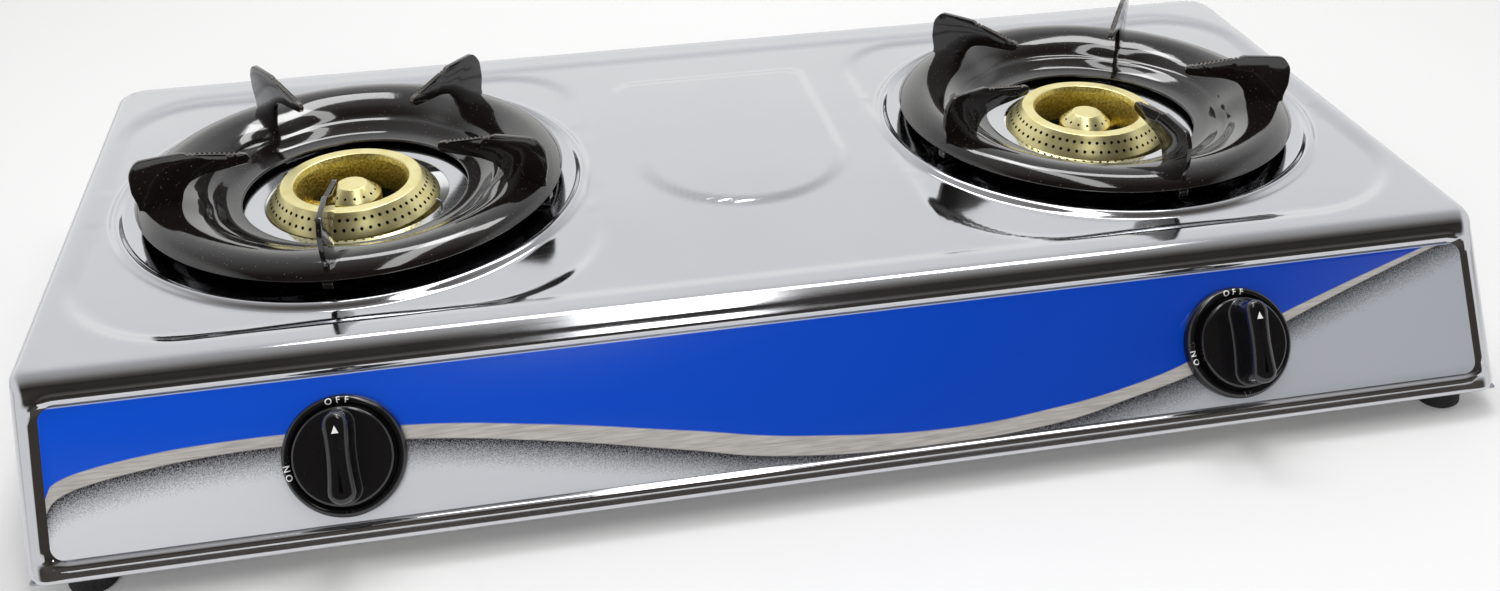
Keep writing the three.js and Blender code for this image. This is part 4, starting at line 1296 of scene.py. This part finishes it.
# ---- the rest ---------------------------------------------------------------------------------------
@dataclass
class Fittings:
    """Rubber feet, the hose nozzle and the metalwork under the body."""

    finishes: Finishes

    def build(self) -> None:
        """Builds every fitting."""
        for side in Side:
            for end in ("front", "rear"):
                self.build_foot(f"foot_{end}_{side.word}")
        self.build_nozzle()
        self.smooth_metalwork()

    def build_foot(self, node: str) -> None:
        """Turns one rubber foot with a ring groove in its sole."""
        at = centre_of(node)
        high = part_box(node)[1].z / MM
        profile = filleted([(0, 0, 0), (3, 0, 0), (3.5, 0.8, 0.2), (5, 0.8, 0.2), (5.5, 0, 0.2),
                            (9.6, 0, 0.6), (11, 1.6, 1), (9.2, high, 0.6), (0, high, 0)], closed=False)
        finished(spun(profile, 64), f"{node}_moulded", [self.finishes.rubber],
                 Placing("root", Slot.RUBBER, (node,)), Matrix.Translation((at.x, at.y, 0)))

    def build_nozzle(self) -> None:
        """Turns the barbed hose nozzle with its round collar."""
        low, high = (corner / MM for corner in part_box("hose_nozzle"))
        length = high.y - low.y
        collar = length - 23.0
        corners = [(3, 0, 0.2), (6.5, 0, 0.6), (6.5, collar, 0.2), (9.5, collar, 0.5),
                   (9.5, collar + 5.5, 0.9), (4.6, collar + 5.5, 0.4)]
        for barb in range(3):
            start = collar + 7.5 + barb * 4.6
            corners += [(4.7, start - 0.3, 0.1), (5.9, start, 0.2), (4.8, start + 4.1, 0.2)]
        corners += [(4.4, length, 0.4), (3, length, 0.3)]
        bm = spun(filleted(corners), 72, closed=True)
        at = Matrix.Translation(((low.x + high.x) / 2, low.y, (low.z + high.z) / 2)) @ Matrix.Rotation(
            -math.pi / 2, 4, "X")
        finished(bm, "hose_nozzle_turned", [self.finishes.brass],
                 Placing("root", Slot.BRASS, ("hose_nozzle",)), at)

    def smooth_metalwork(self) -> None:
        """Copies the hidden metalwork's CAD shapes, rounds their edges and gives them their finishes."""
        plain = self.finishes.zinc
        pieces: list[tuple[str, str, Slot, bpy.types.Material]] = [("gas_rail", "root", Slot.ZINC, plain)]
        for side in Side:
            word = side.word
            pieces += [(f"{name}_{word}", "root", Slot.ZINC, plain)
                       for name in ("foot_rail", "burner_brace", "valve_bracket")]
            pieces += [(f"brace_screw_{word}_{end}", "root", Slot.ZINC, plain) for end in ("left", "right")]
            pieces += [(f"air_shutter_{word}", f"{word}_shutter", Slot.ZINC, plain),
                       (f"return_spring_{word}", f"{word}_plug", Slot.ZINC, plain),
                       (f"spindle_{word}", f"{word}_knob", Slot.ZINC, plain),
                       (f"valve_body_{word}", "root", Slot.BRASS, self.finishes.brass),
                       (f"injector_{word}", "root", Slot.BRASS, self.finishes.brass),
                       (f"valve_plug_{word}", f"{word}_plug", Slot.BRASS, self.finishes.brass),
                       (f"burner_body_{word}", "root", Slot.IRON, self.finishes.iron),
                       (f"spark_electrode_{word}", "root", Slot.CERAMIC, self.finishes.ceramic),
                       (f"ignition_lead_{word}", "root", Slot.SLEEVE, self.finishes.sleeve)]
        for node, body, slot, material in pieces:
            self.smooth_copy(node, body, slot, material)

    def shorten(self, spring: bpy.types.Object) -> None:
        """Gives a spring its own copy of its mesh."""
        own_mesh(spring)

    def smooth_copy(self, node: str, body: str, slot: Slot, material: bpy.types.Material) -> None:
        """Makes a smooth-shaded copy of a CAD node with softened edges.

        Args:
            node: The CAD node, which the copy stands for.
            body: The body it rides on.
            slot: Its record slot.
            material: Its finish.
        """
        bm = bmesh.new()
        bm.from_mesh(bpy.data.objects[node].data)
        bmesh.ops.remove_doubles(bm, verts=bm.verts[:], dist=1e-6)
        bmesh.ops.dissolve_limit(bm, angle_limit=math.radians(1), verts=bm.verts[:], edges=bm.edges[:])
        bmesh.ops.scale(bm, vec=(1 / MM, 1 / MM, 1 / MM), verts=bm.verts[:])
        materials = [material]
        if node.startswith("spark_electrode"):
            materials.append(self.finishes.zinc)
            for face in bm.faces:
                face.material_index = 1 if face.calc_center_median().z > 73.6 else 0
        piece = finished(bm, f"{node}_finished", materials, Placing(body, slot, (node,)))
        if node.startswith("return_spring"):
            self.shorten(piece)
        if not node.startswith(("return_spring", "ignition_lead", "gas_rail")):
            edge = piece.modifiers.new("edge", "BEVEL")
            edge.width = 0.25 * MM
            edge.segments = 2
            edge.limit_method = "ANGLE"
            edge.angle_limit = math.radians(40)


# ---- studio -----------------------------------------------------------------------------------------
@dataclass
class Studio:
    """The camera, a pale floor and soft light from above and behind."""

    eye: tuple[float, float, float] = (-0.1302, -0.6951, 0.4460)
    pitch: float = math.radians(32.33)
    yaw: float = math.radians(10.783)
    roll: float = math.radians(-0.714)
    lens: float = 34.906

    def build(self) -> None:
        """Builds the whole studio."""
        self.build_camera()
        self.build_floor()
        self.build_world()
        # Overhead softbox: the white line along the rolled front edge.
        self.softbox("overhead", (0.1, -0.05, 1.5), (0, -0.05, 0), (1.9, 0.26), 7, True)
        # Fill from the user's side: lights the panel and the prongs without showing in the steel.
        self.softbox("fill", (-0.5, -1.8, 0.9), (0.1, -0.1, 0.05), (1.6, 0.9), 17, False)
        # Back light: picks out the prongs' edges and the rings' rims.
        self.softbox("back", (0.2, 0.62, 1.5), (0, 0, 0.05), (1.4, 0.3), 8, True)

    def build_camera(self) -> None:
        """Sets the camera by its pitch, turn and roll."""
        level = math.cos(self.pitch)
        forward = Vector((math.sin(self.yaw) * level, math.cos(self.yaw) * level, -math.sin(self.pitch)))
        right = forward.cross(Vector((0, 0, 1))).normalized()
        up = right.cross(forward)
        tilted_right = right * math.cos(self.roll) + up * math.sin(self.roll)
        tilted_up = up * math.cos(self.roll) - right * math.sin(self.roll)
        data = bpy.data.cameras.new("camera")
        data.lens = self.lens
        data.sensor_width = 36
        camera = bpy.data.objects.new("camera", data)
        turn = Matrix((tilted_right, tilted_up, -forward)).transposed()
        camera.matrix_world = Matrix.Translation(self.eye) @ turn.to_4x4()
        bpy.context.scene.collection.objects.link(camera)
        bpy.context.scene.camera = camera

    def build_floor(self) -> None:
        """Lays a pale floor under the feet."""
        bm = bmesh.new()
        bmesh.ops.create_grid(bm, x_segments=1, y_segments=1, size=6)
        mesh = bpy.data.meshes.new("floor")
        bm.to_mesh(mesh)
        bm.free()
        floor = bpy.data.objects.new("floor", mesh)
        floor.location.z = -0.0002
        mesh.materials.append(MouldedPlastic("pale_studio_floor", "#FAFAFA", 0.7, grain=40,
                                             dust="#FAFAFA").material())
        bpy.context.scene.collection.objects.link(floor)

    def build_world(self) -> None:
        """Sets a pale backdrop all round, with a dark band above the user's side for the front to mirror."""
        world = bpy.data.worlds.new("studio")
        bpy.context.scene.world = world
        world.use_nodes = True
        tree = world.node_tree
        tree.nodes.clear()
        way = add(tree, "ShaderNodeTexCoord").outputs["Generated"]
        parts = add(tree, "ShaderNodeSeparateXYZ", {"Vector": way})
        back = add(tree, "ShaderNodeMath", {0: parts.outputs["Y"], 1: -1.0}, operation="MULTIPLY")
        angle = add(tree, "ShaderNodeMath", {0: parts.outputs["Z"], 1: back.outputs[0]}, operation="ARCTAN2")
        share = add(tree, "ShaderNodeMath", {0: angle.outputs[0], 1: math.pi}, operation="DIVIDE")
        ramp = add(tree, "ShaderNodeValToRGB", {"Fac": share.outputs[0]})
        stops = [(0.0, "#45423F"), (0.09, "#4A4642"), (0.16, "#3E3A36"), (0.34, "#2B2927"), (0.42, "#5A5754"),
                 (0.52, "#8E8D8B"),
                 (0.66, "#ABABAC"), (0.78, "#D0D0D1"), (0.9, "#EAEAE8"), (1.0, "#DCDCDC")]
        elements = ramp.color_ramp.elements
        elements[0].color, elements[1].color = linear(stops[0][1]), linear(stops[-1][1])
        for position, colour in stops[1:-1]:
            elements.new(position).color = linear(colour)
        seen = add(tree, "ShaderNodeLightPath").outputs["Is Camera Ray"]
        # The band is dark only straight in front, so other views mirror a pale room.
        aside = add(tree, "ShaderNodeMath", {0: parts.outputs["X"]}, operation="ABSOLUTE").outputs[0]
        pale = add(tree, "ShaderNodeMapRange", {"Value": aside, "From Min": 0.7, "From Max": 0.84})
        room = add(tree, "ShaderNodeMix", data_type="RGBA")
        tree.links.new(pale.outputs["Result"], room.inputs[0])
        tree.links.new(ramp.outputs["Color"], room.inputs[6])
        room.inputs[7].default_value = linear("#D4D4D4")
        mix = add(tree, "ShaderNodeMix", data_type="RGBA")
        tree.links.new(seen, mix.inputs[0])
        tree.links.new(room.outputs[2], mix.inputs[6])
        mix.inputs[7].default_value = (1, 1, 1, 1)
        light = add(tree, "ShaderNodeBackground", {"Color": mix.outputs[2], "Strength": 1.3})
        add(tree, "ShaderNodeOutputWorld", {"Surface": light.outputs[0]})
        bpy.context.scene.view_settings.view_transform = "Standard"

    def softbox(self, name: str, at: tuple[float, float, float], towards: tuple[float, float, float],
                size: tuple[float, float], power: float, mirrored: bool) -> None:
        """Hangs one soft light.

        Args:
            name: The light's name.
            at: Its place in metres.
            towards: The point that it faces.
            size: Its width and height.
            power: Its power in watts.
            mirrored: Whether polished surfaces show it.
        """
        data = bpy.data.lights.new(name, "AREA")
        data.shape = "RECTANGLE"
        data.size, data.size_y = size
        data.energy = power
        light = bpy.data.objects.new(name, data)
        light.location = at
        light.rotation_mode = "QUATERNION"
        light.rotation_quaternion = (Vector(towards) - Vector(at)).to_track_quat("-Z", "Y")
        light.visible_glossy = mirrored
        bpy.context.scene.collection.objects.link(light)


def main() -> None:
    """Builds the stove's looks in order, and reports each piece."""
    logging.basicConfig(level=logging.INFO, format="%(message)s")
    Studio().build()
    finishes = Finishes()
    body = BodyPressing(finishes)
    body.build()
    FrontPanel(finishes, body).build()
    for side in Side:
        Burner(finishes, side).build()
        PanSupport(finishes, side).build()
        Control(finishes, side).build()
    Fittings(finishes).build()


if __name__ == "__main__":
    main()
